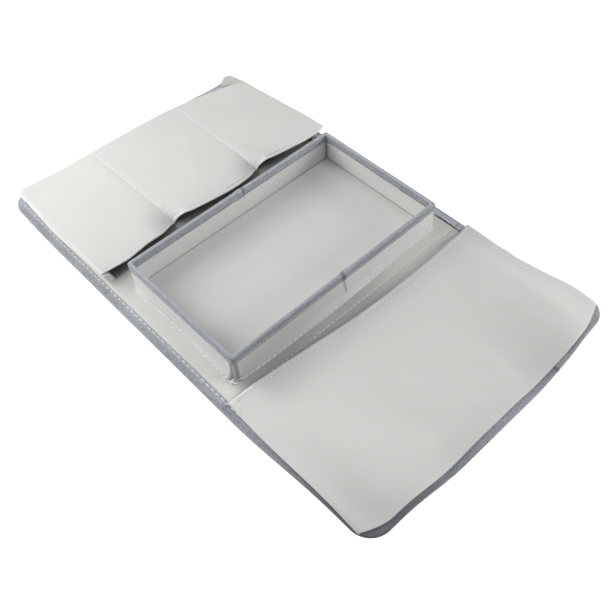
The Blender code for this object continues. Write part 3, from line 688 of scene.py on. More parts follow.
class ORGANIZER_OT_mat_cloth(bpy.types.Operator):
    """Make the lining and the back cover of the mat, each a sheet through one fold"""

    bl_idname = "organizer.mat_cloth"
    bl_label = "Mat lining and back cover"

    def execute(self, context):
        s = context.scene.organizer_sizes
        for side, word, panel in sides():
            x, y = mat_grid(side, s)
            sink = 0.03 * MM * (side > 0) * smooth(1.5 - np.abs(x) / (1 * MM))
            top = np.stack([x, y, lining_top(x, y, s) - sink], -1)
            wear = 0.7 * bell(np.abs(x) - FOLD_X, 2.2 * MM)
            soil = self.soil(side, x, y, s)
            lining = cloth_piece(f"mat_lining_{word}", top, s.cloth_thickness, "Mat cloth", wear=wear, soil=soil)
            low = mix(0.9 * MM, 0.0, fullness(x, y, s)) + corner_rise(x, y, s) + sink
            under = np.stack([x, y, low], -1)[::-1]
            cover = cloth_piece(f"mat_back_{word}", under, s.cloth_thickness, "Back cloth", wear=0.6 * wear[::-1])
            for piece, layer in ((lining, "lining"), (cover, "back_cover")):
                blend_over_fold(piece)
                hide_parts(f"{word}_{layer}", f"centre_{layer}")
        return {"FINISHED"}

    def soil(self, side, x, y, s):
        """Where shade is painted into the lining: a thin painted shadow line along the tape's inner edge that varies
        with each stitch, a painted shadow where the far tape is loose beside the tray, painted shade in the gutter
        between the tray and the wide pocket, and painted shade inside the pockets."""
        inset = mat_inset(x, y, s)
        dotted = 0.68 + 0.32 * np.sin((x + y) / s.tape_stitch * math.tau)
        line = 0.75 * dotted * bell(inset - s.tape_width, 1.1 * MM)
        past_tape = smooth((inset - 8 * MM) / (3 * MM))
        if side > 0:
            # Right: painted shadow under the loose far tape, painted shade in the gutter and inside the wide pocket.
            loose = smooth((x - 0.072) / 0.006) * smooth((0.116 - x) / 0.004) * (y > 0)
            gutter = smooth((x - 0.084) / 0.003) * smooth((0.090 - y) / 0.080) * smooth((y + 0.157) / 0.018)
            inside = smooth((x - right_mouth_x(y) - 0.2 * MM) / (0.8 * MM)) * (y > -0.160)
            gutter = (0.42 + 0.14 * smooth((-0.02 - y) / 0.07)) * gutter
            dull = np.maximum(gutter, inside * past_tape)
            return np.maximum(np.maximum(line, dull), loose * bell(inset - 9.6 * MM, 1.7 * MM))
        # Left: the painted shadow line at the tape's edge, and painted shade inside the three pockets past their mouth.
        return np.maximum(line, smooth((-0.1085 - x) / 0.004) * past_tape * smooth((y + 0.1595) / 0.002))


TAPE_SEAM = 9.3 * MM
TAPE_LAP_Y = 0.086


def tape_contour(s):
    """Outer face of the folded tape, as insets and heights: out along the bottom, round a half circle, and in along
    the top."""
    bend = s.edge_height / 2
    run = np.concatenate([np.linspace(s.tape_width, 8.1 * MM, 9), np.linspace(7.2 * MM, bend, 5)])
    turn = np.linspace(0, math.pi, 9)[1:-1]
    inset = np.concatenate([run, bend - bend * np.sin(turn), run[::-1]])
    height = np.concatenate([np.zeros(len(run)), bend - bend * np.cos(turn), np.full(len(run), s.edge_height)])
    return inset, height


class ORGANIZER_OT_edge_binding(bpy.types.Operator):
    """Make the ribbed tape folded round the mat's edge"""

    bl_idname = "organizer.edge_binding"
    bl_label = "Edge binding"

    def execute(self, context):
        s = context.scene.organizer_sizes
        for side, word, panel in sides():
            points, uv, wear, soil = self.tape(side, s)
            name = f"edge_binding_{word}"
            tape = cloth_piece(name, points, s.tape_thickness, "Binding tape", wear=wear, soil=soil, uv=uv)
            blend_over_fold(tape)
            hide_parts(f"{word}_binding", "centre_binding_near", "centre_binding_far")
        return {"FINISHED"}

    def tape(self, side, s):
        """The tape's contour along the mat's outline. Its edge wavers, the seam presses a groove, the corners pleat,
        the fold line pinches it, and at the right end one end of the tape laps over the other with a small step."""
        outline, inward = half_path(side, s)
        at_x, at_y = outline[:, :1], outline[:, 1:]
        along = distance_along(outline)[:, None]
        inset, height = tape_contour(s)
        deep = inset[None, :]
        upper = (np.arange(len(inset)) > len(inset) // 2)[None, :]
        turning = smooth((1 - np.abs(inward).max(1, keepdims=True)) / 0.12)
        from_middle = smooth((np.abs(at_x) - 1 * MM) / 0.01)
        waver = 0.35 * MM * ripple(along, 0.0, 11 + side, 0.035) * from_middle
        groove = -0.30 * MM * bell(deep - TAPE_SEAM, 0.55 * MM) + 0.22 * MM * bell(deep - s.tape_width, 0.5 * MM)
        pleats = 0.34 * MM * np.sin(along / (4.2 * MM) * math.tau) * turning * smooth((deep - 3 * MM) / (5 * MM))
        uneven = 0.12 * MM * ripple(along, deep * 6, 5 + side, 0.009) * from_middle
        crease = bell(np.abs(at_x) - FOLD_X, 1.6 * MM) + 0.6 * bell(np.abs(at_x) - 0.110, 1.5 * MM)
        swell = (groove + pleats + uneven - 0.45 * MM * crease) * smooth((deep - 1.5 * MM) / (2 * MM))
        lap = lap_step_shadow = 0.0
        if side > 0:
            past = at_y - TAPE_LAP_Y
            on_end = at_x > 0.29
            lap = 1.1 * MM * on_end * smooth(past / (0.5 * MM)) * smooth((20 * MM - past) / (12 * MM))
            lap_step_shadow = on_end * bell(past + 0.3 * MM, 1.3 * MM)
        stray = (at_y > 0.17) * smooth((at_x - 0.074) / 0.006) * smooth((0.116 - at_x) / 0.006)
        stray = 1.1 * MM * stray * (1 + 0.5 * ripple(along, 0.0, 7, 0.008))
        stray = stray * smooth((deep - s.tape_width + 2.8 * MM) / (2.8 * MM))
        swell = np.where(upper, swell + lap + stray, swell * 0.35)
        reach = deep + waver * smooth(deep / (8 * MM))
        x = at_x + inward[:, :1] * reach
        y = at_y + inward[:, 1:] * reach
        sink = 0.03 * MM * (side > 0) * (1 - from_middle)
        z = height[None, :] + np.where(upper, 1.0, -1.0) * (swell - sink)
        z = np.maximum(z, 0.0) + corner_rise(x, y, s)
        uv = grid(along, distance_along(np.column_stack([inset, height]))[None, :])
        # Paler: a painted highlight on the rolled outer edge, a paler band beside the seam, worn tone that drifts along
        # the tape, and paler along the far side short of the wide pocket and at the left end.
        wear = 0.25 * bell(deep - 0.6 * MM, 1.4 * MM) + 0.5 * bell(deep - 8.8 * MM, 1.8 * MM)
        wear = wear + 0.25 * smooth(ripple(along, 0.0, 40, 0.05))
        wear = wear + 0.9 * (at_y > 0.16) * smooth((0.160 - at_x) / 0.04)
        wear = wear + 0.5 * smooth((-at_x - 0.27) / 0.02)
        # Painted shade: in the pinches at the fold lines and beside the mouths, in the seam's groove, on the near right
        # corner's pleats, along the right panel's near side and the near half of its right end, and on the rolled outer
        # edge; a painted shadow line marks the lap's step.
        soil = 0.55 * crease * smooth((deep - 2 * MM) / (3 * MM)) + 0.25 * bell(deep - TAPE_SEAM, 0.4 * MM)
        if side > 0:
            tight = turning * (at_y < 0) * smooth((deep - 2.5 * MM) / (3 * MM))
            soil = soil + 0.9 * tight * smooth(ripple(along, deep, 91, 0.006)) + 0.35 * tight
            soil = soil + 0.80 * smooth((at_x - 0.12) / 0.16) * (at_y < 0) * smooth((0.02 - at_y) / 0.16)
        soil = soil + 0.20 * smooth((4.2 * MM - deep) / (1.6 * MM))
        return grid(x, y, z), uv, np.clip(wear, 0, 1), np.clip(soil + lap_step_shadow, 0, 1)


# ---------------------------------------------------------------- tray


def tray_loop(inset, radius, step=1.6 * MM):
    """A rounded rectangle round the tray, against the clock from the near left corner, inset from the rim's outer face.
    Every loop has as many points on each side and corner, so two loops can be mixed point by point."""
    centre = np.array([(RIM_LOW.x + RIM_HIGH.x) / 2, (RIM_LOW.y + RIM_HIGH.y) / 2])
    half = np.array([(RIM_HIGH.x - RIM_LOW.x) / 2, (RIM_HIGH.y - RIM_LOW.y) / 2])
    count = np.round(2 * half / step).astype(int)
    inner = half - inset - radius
    points = []
    for quarter in range(4):
        turn = quarter * math.pi / 2
        way = np.array([math.cos(turn), math.sin(turn)])
        out = np.array([way[1], -way[0]])
        share = np.linspace(-1, 1, count[quarter % 2] + 1)[:, None]
        side_half = abs(way @ inner)
        out_half = abs(out @ (half - inset))
        points.append(way * share * side_half + out * out_half)
        angle = np.linspace(0, math.pi / 2, 9)[1:-1, None]
        corner = way * side_half + out * abs(out @ inner)
        points.append(corner + radius * (out * np.cos(angle) + way * np.sin(angle)))
    return np.concatenate(points) + centre


def loop_period(loop):
    """Length once round a closed loop: the sum of the steps from each point to the next."""
    return float(np.linalg.norm(np.roll(loop, -1, 0) - loop, axis=1).sum())


def loop_outward(loop):
    """Level directions out of a loop that runs against the clock: its tangent turned by a right angle."""
    tangent = unit(np.roll(loop, -1, 0) - np.roll(loop, 1, 0))
    return np.stack([tangent[:, 1], -tangent[:, 0]], -1)


def moved_out(loop, level, z):
    """Points of a wall: the loop moved out by level, at height z."""
    out = loop_outward(loop)
    return grid(loop[:, :1] + out[:, :1] * level, loop[:, 1:] + out[:, 1:] * level, z)


def rim_loops(s):
    """The rim tape's outer and inner loop."""
    return tray_loop(0.0, 3.0 * MM), tray_loop(s.rim_width, 0.8 * MM)


TRAY_SEAM = (RIM_HIGH.x, RIM_LOW.y)
RIM_TOP = RIM_HIGH.z
WALL_TOP = RIM_TOP - 0.9 * MM
TRAY_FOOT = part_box("tray_outer_cover")[0].z
OUTER_LOOP = (0.9 * MM, 2.4 * MM)
INNER_LOOP = (3.7 * MM, 0.9 * MM)
FLAT_HEM = 2.4 * MM
HEM_NEAR = (
    (-0.0865, -0.080, -0.040, -0.005, 0.029, 0.061, 0.076, 0.0865),
    (0.8, 4.2, 3.4, 3.0, 4.6, 6.0, 5.6, 0.8),
)
HEM_RIGHT = (
    (-0.1438, -0.137, -0.125, -0.105, -0.072, -0.029, 0.000, 0.030, 0.068, 0.108, 0.133, 0.1458),
    (0.8, 3.0, 4.4, 5.6, 5.6, 6.4, 6.3, 5.5, 3.6, 2.9, 2.7, 0.8),
)
WALL_SEAM = 2


def wall_hem(loop):
    """How far the wall's foot spreads out over the mat: by a table on the near and on the right side, 3 mm on the other
    two, and under 1 mm at the corners."""
    x, y = loop[:, :1], loop[:, 1:]
    near = through(x, *HEM_NEAR) * (y < RIM_LOW.y + 2 * MM)
    right = through(y, *HEM_RIGHT) * (x > RIM_HIGH.x - 2 * MM)
    gap = np.maximum(np.minimum(x - RIM_LOW.x, RIM_HIGH.x - x), np.minimum(y - RIM_LOW.y, RIM_HIGH.y - y))
    other = 0.8 + 2.2 * smooth((gap - 3 * MM) / (12 * MM))
    return np.where(near > 0, near, np.where(right > 0, right, other)) * MM


def outer_wall(s):
    """The outer cloth: a loop 0.9 mm in from the rim that spreads out at its foot by a power of 2.4 of the share left
    over the lowest third and ends in a flat hem, with a slight bulge, a low ripple, a pucker at each stitch of the hem,
    and at the near right corner a seam: a pressed, creased band with a raised lip on each side."""
    loop = tray_loop(*OUTER_LOOP)
    distance = distance_along(loop)[:, None]
    hem = wall_hem(loop)
    lying = smooth((hem - 0.8 * MM) / (2 * MM))
    low = mix(TRAY_FOOT + 0.1 * MM, s.mat_height + s.thin_cloth + 0.25 * MM, lying)
    climb = spread(0, 1, 0.04, [(0, 0.30, 0.02)])[1:]
    share = np.concatenate([np.zeros(4), climb])[None, :]
    flat = np.concatenate([[1, 0.67, 0.33, 0], np.zeros(len(climb))])[None, :]
    left = np.concatenate([np.ones(4), np.clip(1 - climb / 0.34, 0, 1)])[None, :]
    flare = flat * FLAT_HEM * lying + (hem - FLAT_HEM * lying) * left**2.4
    z = mix(low, WALL_TOP, share)
    z = z + 0.20 * MM * np.sin(distance / s.wall_stitch * math.tau) * lying * bell(share, 0.03)
    bulge = 0.30 * MM * np.sin(share * math.pi) * (1 + ripple(distance, z, 21, 0.07))
    to_x, to_y = TRAY_SEAM[0] - loop[:, :1], loop[:, 1:] - TRAY_SEAM[1]
    corner = np.where(to_y < to_x, to_x * 0.72, to_y * 1.05)
    beside = (to_x < 0.03) * (to_y < 0.03)
    band = smooth((6.0 * MM - corner) / (0.9 * MM)) * beside * smooth((RIM_TOP - 9 * MM - z) / (2 * MM))
    lips = bell(corner - 6.9 * MM, 0.9 * MM) * beside
    crease = 0.055 * MM * np.sin(z / (6 * MM) * math.tau + 1) * band
    level = flare + np.minimum(bulge, 0.55 * MM) * (1 - band) - 0.30 * MM * band + 0.60 * MM * lips + crease
    # Painted shade in the seam's pressed band, darkest about 4.4 mm from the corner.
    shade = band * (0.42 + 0.45 * bell(corner - 4.4 * MM, 1.5 * MM))
    return moved_out(loop, level, z), shade, lips


class ORGANIZER_OT_tray_cloth(bpy.types.Operator):
    """Make the cloth round, inside and on the floor of the tray"""

    bl_idname = "organizer.tray_cloth"
    bl_label = "Tray cloth"

    def execute(self, context):
        s = context.scene.organizer_sizes
        made = (self.outside(s), self.inside(s), self.floor(s))
        for piece in made:
            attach(piece, "middle_section")
        return {"FINISHED"}

    def outside(self, s):
        """The outer cloth, worn at its foot, with a painted highlight on the seam's lips, painted shade in the seam and
        painted shade on the right side, darker towards its near end.
        """
        points, band, lips = outer_wall(s)
        wear = 0.8 * lips + 0.4 * bell(points[:, :, 2] - TRAY_FOOT, 1.5 * MM)
        # Painted shade on the right wall, darker towards the near end.
        dull = smooth((points[:, :, 0] - RIM_HIGH.x + 3 * MM) / (1 * MM)) * smooth((0.060 - points[:, :, 1]) / 0.140)
        soil = np.maximum(band, 0.28 * dull)
        name = "tray_outside_cloth"
        piece = cloth_piece(name, points, s.thin_cloth, "Tray cloth", closed=True, wear=wear, soil=soil)
        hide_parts("tray_outer_cover")
        return piece

    def inside(self, s):
        """The inner cloth: a loop on the inner face, from under the rim tape to the floor, drawn in at its corners and
        a little loose between them."""
        loop = tray_loop(*INNER_LOOP)
        distance = distance_along(loop)[:, None]
        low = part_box("tray_floor_cloth")[1].z + 0.1 * MM
        share = spread(0, 1, 0.05, [(1, 0.08, 0.02)])[None, :]
        z = mix(WALL_TOP, low, share)
        loose = 0.22 * MM * np.sin(share * math.pi) * (1 + ripple(distance, z, 31, 0.09))
        points = moved_out(loop, -loose, z)
        seam = np.hypot(loop[:, :1] - RIM_LOW.x - 4.6 * MM, loop[:, 1:] - RIM_HIGH.y + 4.6 * MM)
        # Painted shade down the far left inner corner, where the walls meet.
        soil = 0.95 * bell(seam, 1.5 * MM)
        piece = cloth_piece("tray_inside_cloth", points, s.thin_cloth, "Tray cloth", closed=True, soil=soil)
        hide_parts("tray_inner_lining")
        return piece

    def floor(self, s):
        """The floor cloth: a grid on the base board, 0.6 mm inside the edges of the CAD sheet, that lies slightly
        uneven."""
        low, high = (place.copy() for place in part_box("tray_floor_cloth"))
        low.xy += Vector((1, 1)) * 0.6 * MM
        high.xy -= Vector((1, 1)) * 0.6 * MM
        tight = [(place, 4 * MM, 0.7 * MM) for place in (low.x, high.x)]
        x = spread(low.x, high.x, 4 * MM, tight)[:, None]
        tight = [(place, 4 * MM, 0.7 * MM) for place in (low.y, high.y)]
        y = spread(low.y, high.y, 4 * MM, tight)[None, :]
        gap = np.minimum(np.minimum(x - low.x, high.x - x), np.minimum(y - low.y, high.y - y))
        uneven = 0.16 * MM * (1 + ripple(x, y, 8, 0.06)) * smooth(gap / (12 * MM))
        points = grid(x, y, high.z + uneven)
        # Painted shade along the floor cloth's edges, where it meets the walls.
        edge = 0.8 * bell(gap, 0.9 * MM)
        piece = cloth_piece("tray_floor_sheet", points, s.thin_cloth, "Tray cloth", soil=edge)
        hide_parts("tray_floor_cloth")
        return piece


def rim_contour(s):
    """Outer face of the rim tape as shares across the rim and heights: up the outside, over a flattened top, down
    the inside."""
    rise = spread(RIM_TOP - s.rim_depth, RIM_TOP - 2.4 * MM, 1.0 * MM)
    turn = np.linspace(0, math.pi, 13)[1:-1]
    bow = np.sign(np.cos(turn)) * np.abs(np.cos(turn)) ** 0.75
    share = np.concatenate([np.zeros(len(rise)), 0.5 - 0.5 * bow, np.ones(len(rise))])
    top = RIM_TOP - 2.4 * MM + 2.4 * MM * np.sin(turn) ** 0.8
    return share, np.concatenate([rise, top, rise[::-1]])


RIM_LAPS = ((-1, 0.0125), (1, 0.0055))


class ORGANIZER_OT_tray_rim(bpy.types.Operator):
    """Make the tape folded over the tray's rim, with a lap in the middle of each long wall"""

    bl_idname = "organizer.tray_rim"
    bl_label = "Tray rim"

    def execute(self, context):
        s = context.scene.organizer_sizes
        outer, inner = rim_loops(s)
        share, height = rim_contour(s)
        distance = distance_along(outer)[:, None]
        period = loop_period(outer)
        wide = share[None, :, None]
        flat = outer[:, None, :] * (1 - wide) + inner[:, None, :] * wide
        out = loop_outward(outer)[:, None, :]
        way = np.cos(share * math.pi)[None, :]
        low = np.clip((RIM_TOP - height) / s.rim_depth, 0, 1)[None, :]
        waver = 0.22 * MM * ripple(distance, height[None, :] * 3, 14, 0.02) * low
        groove = -0.14 * MM * bell(height - (RIM_TOP - s.rim_depth + 1.8 * MM), 0.9 * MM)[None, :]
        lap = step = 0.0
        for side, place in RIM_LAPS:
            past = (outer[:, 1:] - place) * side
            on_wall = np.abs(outer[:, :1] - side * RIM_HIGH.x) < 1 * MM
            lap = lap + 0.85 * MM * on_wall * smooth(past / (0.4 * MM) + 0.5) * smooth((14 * MM - past) / (10 * MM))
            step = step + on_wall * bell(past + 0.8 * MM, 1.7 * MM)
        swell = (waver + groove) * np.abs(way) ** 0.5
        thick = way * (swell + lap)
        edge = 0.3 * MM * ripple(distance, 0.0, 19, 0.03) * smooth((low - 0.6) / 0.4)
        top = 0.10 * MM * ripple(distance, 0.0, 23, 0.04) + 0.6 * lap
        z = height[None, :] + edge + top * (1 - np.abs(way))
        points = np.concatenate([flat + out * thick[:, :, None], z[:, :, None]], -1)
        length = distance_along(np.column_stack([share * s.rim_width, height]))
        uv = grid(distance, length[None, :])
        # Paler: a painted highlight over the rim's top and along its inner top bend, and a frayed, paler lower edge on
        # the outer face.
        wear = 0.55 * (1 - np.abs(way)) ** 2 + 0.7 * bell(share - 0.84, 0.10)[None, :]
        frayed = bell(height - (RIM_TOP - s.rim_depth + 2.4 * MM), 0.9 * MM)[None, :] * (way > 0)
        wear = np.clip(wear + frayed * (0.75 + 0.5 * ripple(distance, 0.0, 29, 0.008)), 0, 1)
        # Painted shade in a band on the outer face, heavier on the right wall, and a painted shadow line at each lap's
        # step.
        shaded = bell(height - (RIM_TOP - 4.6 * MM), 2.4 * MM)[None, :] * (way > 0)
        right = smooth((outer[:, :1] - RIM_HIGH.x + 3 * MM) / (1 * MM))
        soil = np.clip((0.12 + 0.30 * right) * shaded + 0.95 * step, 0, 1)
        tape = cloth_piece(
            "tray_rim_tape", points, s.tape_thickness, "Binding tape", closed=True, wear=wear, soil=soil, uv=uv,
            period=period
        )
        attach(tape, "middle_section")
        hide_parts("tray_rim_binding")
        return {"FINISHED"}


# ---------------------------------------------------------------- three-pocket front


NEAR_Y = -0.1648
LEFT_FAR_Y = 0.1705
LEFT_MOUTH_Z = 0.019
SEWN_Z = 5.6 * MM
LEFT_END_Y = (-0.165, -0.159, -0.152, -0.140, -0.120, -0.046, 0.032, 0.072, 0.105, 0.123, 0.140, 0.156, 0.1705)
LEFT_END_X = (
    -0.2862, -0.2905, -0.2922, -0.2925, -0.2925, -0.2932, -0.2942, -0.2938, -0.2902, -0.2868, -0.2830, -0.2812, -0.2800,
)
LEFT_END_Z = (22.5, 22.5, 21.8, 20.4, 19.2, 16.9, 13.9, 11, 9, 8.3, 7.8, 7.1, 6.9)
LEFT_MOUTH = (
    (-0.1660, -0.1147),
    (-0.1480, -0.1124),
    (-0.1330, -0.1112),
    (-0.1000, -0.1148),
    (-0.0845, -0.1153),
    (-0.0770, -0.1176),
    (-0.0690, -0.1222),
    (-0.0603, -0.1279),
    (-0.0550, -0.1303),
    (-0.0517, -0.1296),
    (-0.0469, -0.1264),
    (-0.0420, -0.1234),
    (-0.0372, -0.1212),
    (-0.0243, -0.1189),
    (-0.0045, -0.1158),
    (0.0162, -0.1137),
    (0.0320, -0.1138),
    (0.0433, -0.1150),
    (0.0524, -0.1185),
    (0.0608, -0.1236),
    (0.0690, -0.1292),
    (0.0722, -0.1295),
    (0.0759, -0.1278),
    (0.0815, -0.1245),
    (0.0880, -0.1219),
    (0.1000, -0.1196),
    (0.1150, -0.1171),
    (0.1300, -0.1152),
    (0.1705, -0.1143),
)
DIVIDER_X = (-0.292, -0.275, -0.245, -0.215, -0.185, -0.165, -0.150, -0.140, -0.130)
DIVIDER_DEPTH = (0.0, 0.03, 0.05, 0.06, 0.07, 0.10, 0.24, 0.52, 1.0)
NEAR_DIVIDER_Y = (-0.0604, -0.0604, -0.0603, -0.0598, -0.0593, -0.0591, -0.0579, -0.0567, -0.0554)
FAR_DIVIDER_Y = (0.0695, 0.0694, 0.0689, 0.0676, 0.0663, 0.0657, 0.0664, 0.0674, 0.0699)


def divider_line(x, which):
    """Y of a sewn divider at X."""
    return through(x, DIVIDER_X, NEAR_DIVIDER_Y if which == "near" else FAR_DIVIDER_Y)


def flank(distance, near_reach, far_reach, power):
    """One at a divider, falling to zero at its reach on the near and on the far side: one less the share, to a
    power."""
    share = np.where(distance < 0, -distance / near_reach, distance / far_reach)
    return np.clip(1 - share, 0, 1) ** power


def left_mouth_x(y):
    """X of the left mouth: a curve through its places, drawn back by up to 18 mm where a divider ends, and by 3 mm at
    the far corner."""
    return through(y, *zip(*LEFT_MOUTH)) - 3 * MM * smooth((y - 0.162) / 0.008)


def divider_pull(x, y):
    """How far the dividers draw the front down, 0 to 1: narrow and shallow up to the last 35 mm before the mouth, deep
    at the mouth, and there with a long near flank and a steep far one."""
    depth = through(x, DIVIDER_X, DIVIDER_DEPTH)
    late = smooth((x + 0.165) / 0.030)
    near_reach, far_reach = mix(0.010, 0.034, late), mix(0.010, 0.016, late)
    near = flank(y - divider_line(x, "near"), near_reach, far_reach, 1.7)
    far = flank(y - divider_line(x, "far"), near_reach, far_reach, 1.7)
    return np.maximum(near, far) * depth


def left_front_height(x, y, s):
    """Middle of the left front over the floor: from the height of its outer end it climbs by a smooth step to 19 mm at
    the mouth, and the dividers draw it down to the lining."""
    end = through(y, LEFT_END_Y, LEFT_END_Z) * MM
    open_height = mix(end, LEFT_MOUTH_Z, smooth((x + 0.292) / 0.180))
    return mix(open_height, SEWN_Z + corner_rise(x, y, s), divider_pull(x, y))


def left_front(s):
    """Outer face of the left front: its middle plus half the cloth, with soft wrinkles that start from the dividers
    and the mouth, on a grid from the outer end to the mouth and from the near to the far edge."""
    along = spread(0, 1, 0.014, [(0, 0.04, 0.005), (1, 0.20, 0.006)])[:, None]
    places = [(-0.057, 0.020, 0.9 * MM), (0.068, 0.020, 0.9 * MM), (NEAR_Y, 9 * MM, 0.8 * MM)]
    y = spread(NEAR_Y, LEFT_FAR_Y, 4 * MM, places + [(LEFT_FAR_Y, 9 * MM, 0.8 * MM)])[None, :]
    end = through(y, LEFT_END_Y, LEFT_END_X)
    x = end + along * (left_mouth_x(y) - end)
    z = left_front_height(x, y, s) + s.cloth_thickness / 2
    pull = divider_pull(x, y)
    edge = np.minimum(np.minimum(y - NEAR_Y, LEFT_FAR_Y - y), x - end)
    calm = smooth(edge / 0.03) * (1 - pull)
    z = z + 0.50 * MM * ripple(x, y, 51, 0.075) * calm + 0.16 * MM * ripple(x * 0.5, y, 52, 0.022) * calm
    z = z + 0.05 * MM * ripple(x, y, 53, 0.009) * smooth(edge / 0.006)
    seam = np.minimum(np.abs(y - divider_line(x, "near")), np.abs(y - divider_line(x, "far")))
    z = z + 0.16 * MM * np.sin(x / (6.3 * MM) * math.tau) * bell(seam - 2.5 * MM, 2.2 * MM) * smooth(edge / 0.02)
    z = z - 0.22 * MM * bell(seam, 1.2 * MM) * smooth((x - end) / 0.012)
    pinch = bell((y + 0.150) - 0.9 * (x + 0.262), 3 * MM) * bell(x + 0.268, 16 * MM)
    z = z - 0.45 * MM * pinch * smooth(edge / 0.008)
    z = z - 1.2 * MM * bell(y - NEAR_Y, 1.7 * MM) - 1.6 * MM * bell(x - end, 2.2 * MM)
    for place, slant, size in ((-0.118, 0.75, 0.9), (0.020, -0.55, 0.7), (0.125, 0.6, 0.5)):
        crease = (y - place) - slant * (x + 0.19)
        z = z + size * MM * bell(crease, 9 * MM) * bell(x + 0.185, 45 * MM) * calm
    points = grid(x, y, z)
    points[:, :, 1] -= 3.2 * MM * bell(x + 0.205, 0.035) * smooth((-0.150 - y) / 0.013)
    # Paler: a painted highlight along the mouth, the near edge and the outer end, a paler line along the divider seams,
    # and painted light on the dividers' flanks near the mouth.
    rim = bell((1 - along) * 0.18, 1.6 * MM) + 0.4 * bell(y - NEAR_Y, 1.5 * MM) + 0.2 * bell(x - end, 1.5 * MM)
    return points + tape_pull(points), rim + 0.5 * bell(seam, 1.4 * MM) + pull * smooth((x + 0.165) / 0.02)


def bellows(start, end, out, depth, count, columns=25):
    """A gusset sheet from its foot to its top edge: a straight climb, drawn inwards by the sine of the climb to the
    power of a half turn for each fold, so that it closes like bellows."""
    share = np.linspace(0, 1, columns)[None, :, None]
    straight = start[:, None, :] * (1 - share) + end[:, None, :] * share
    inwards = np.abs(np.sin(share * math.pi * count)) ** 0.8 * depth[:, None, None]
    return straight - out * inwards


def gusset_edges(height, x, top_y, foot_y, gap, s):
    """Foot and top edge of a side gusset along X: the foot just over the lining, or lower where the front is low, and
    the top a gap under the front's cloth."""
    under = height(x, np.full_like(x, top_y), s) - s.cloth_thickness / 2 - gap
    floor = s.mat_height + 0.35 * MM + corner_rise(x, np.full_like(x, foot_y), s)
    return grid(x, foot_y, np.minimum(floor, under - 0.4 * MM)), grid(x, top_y, under)


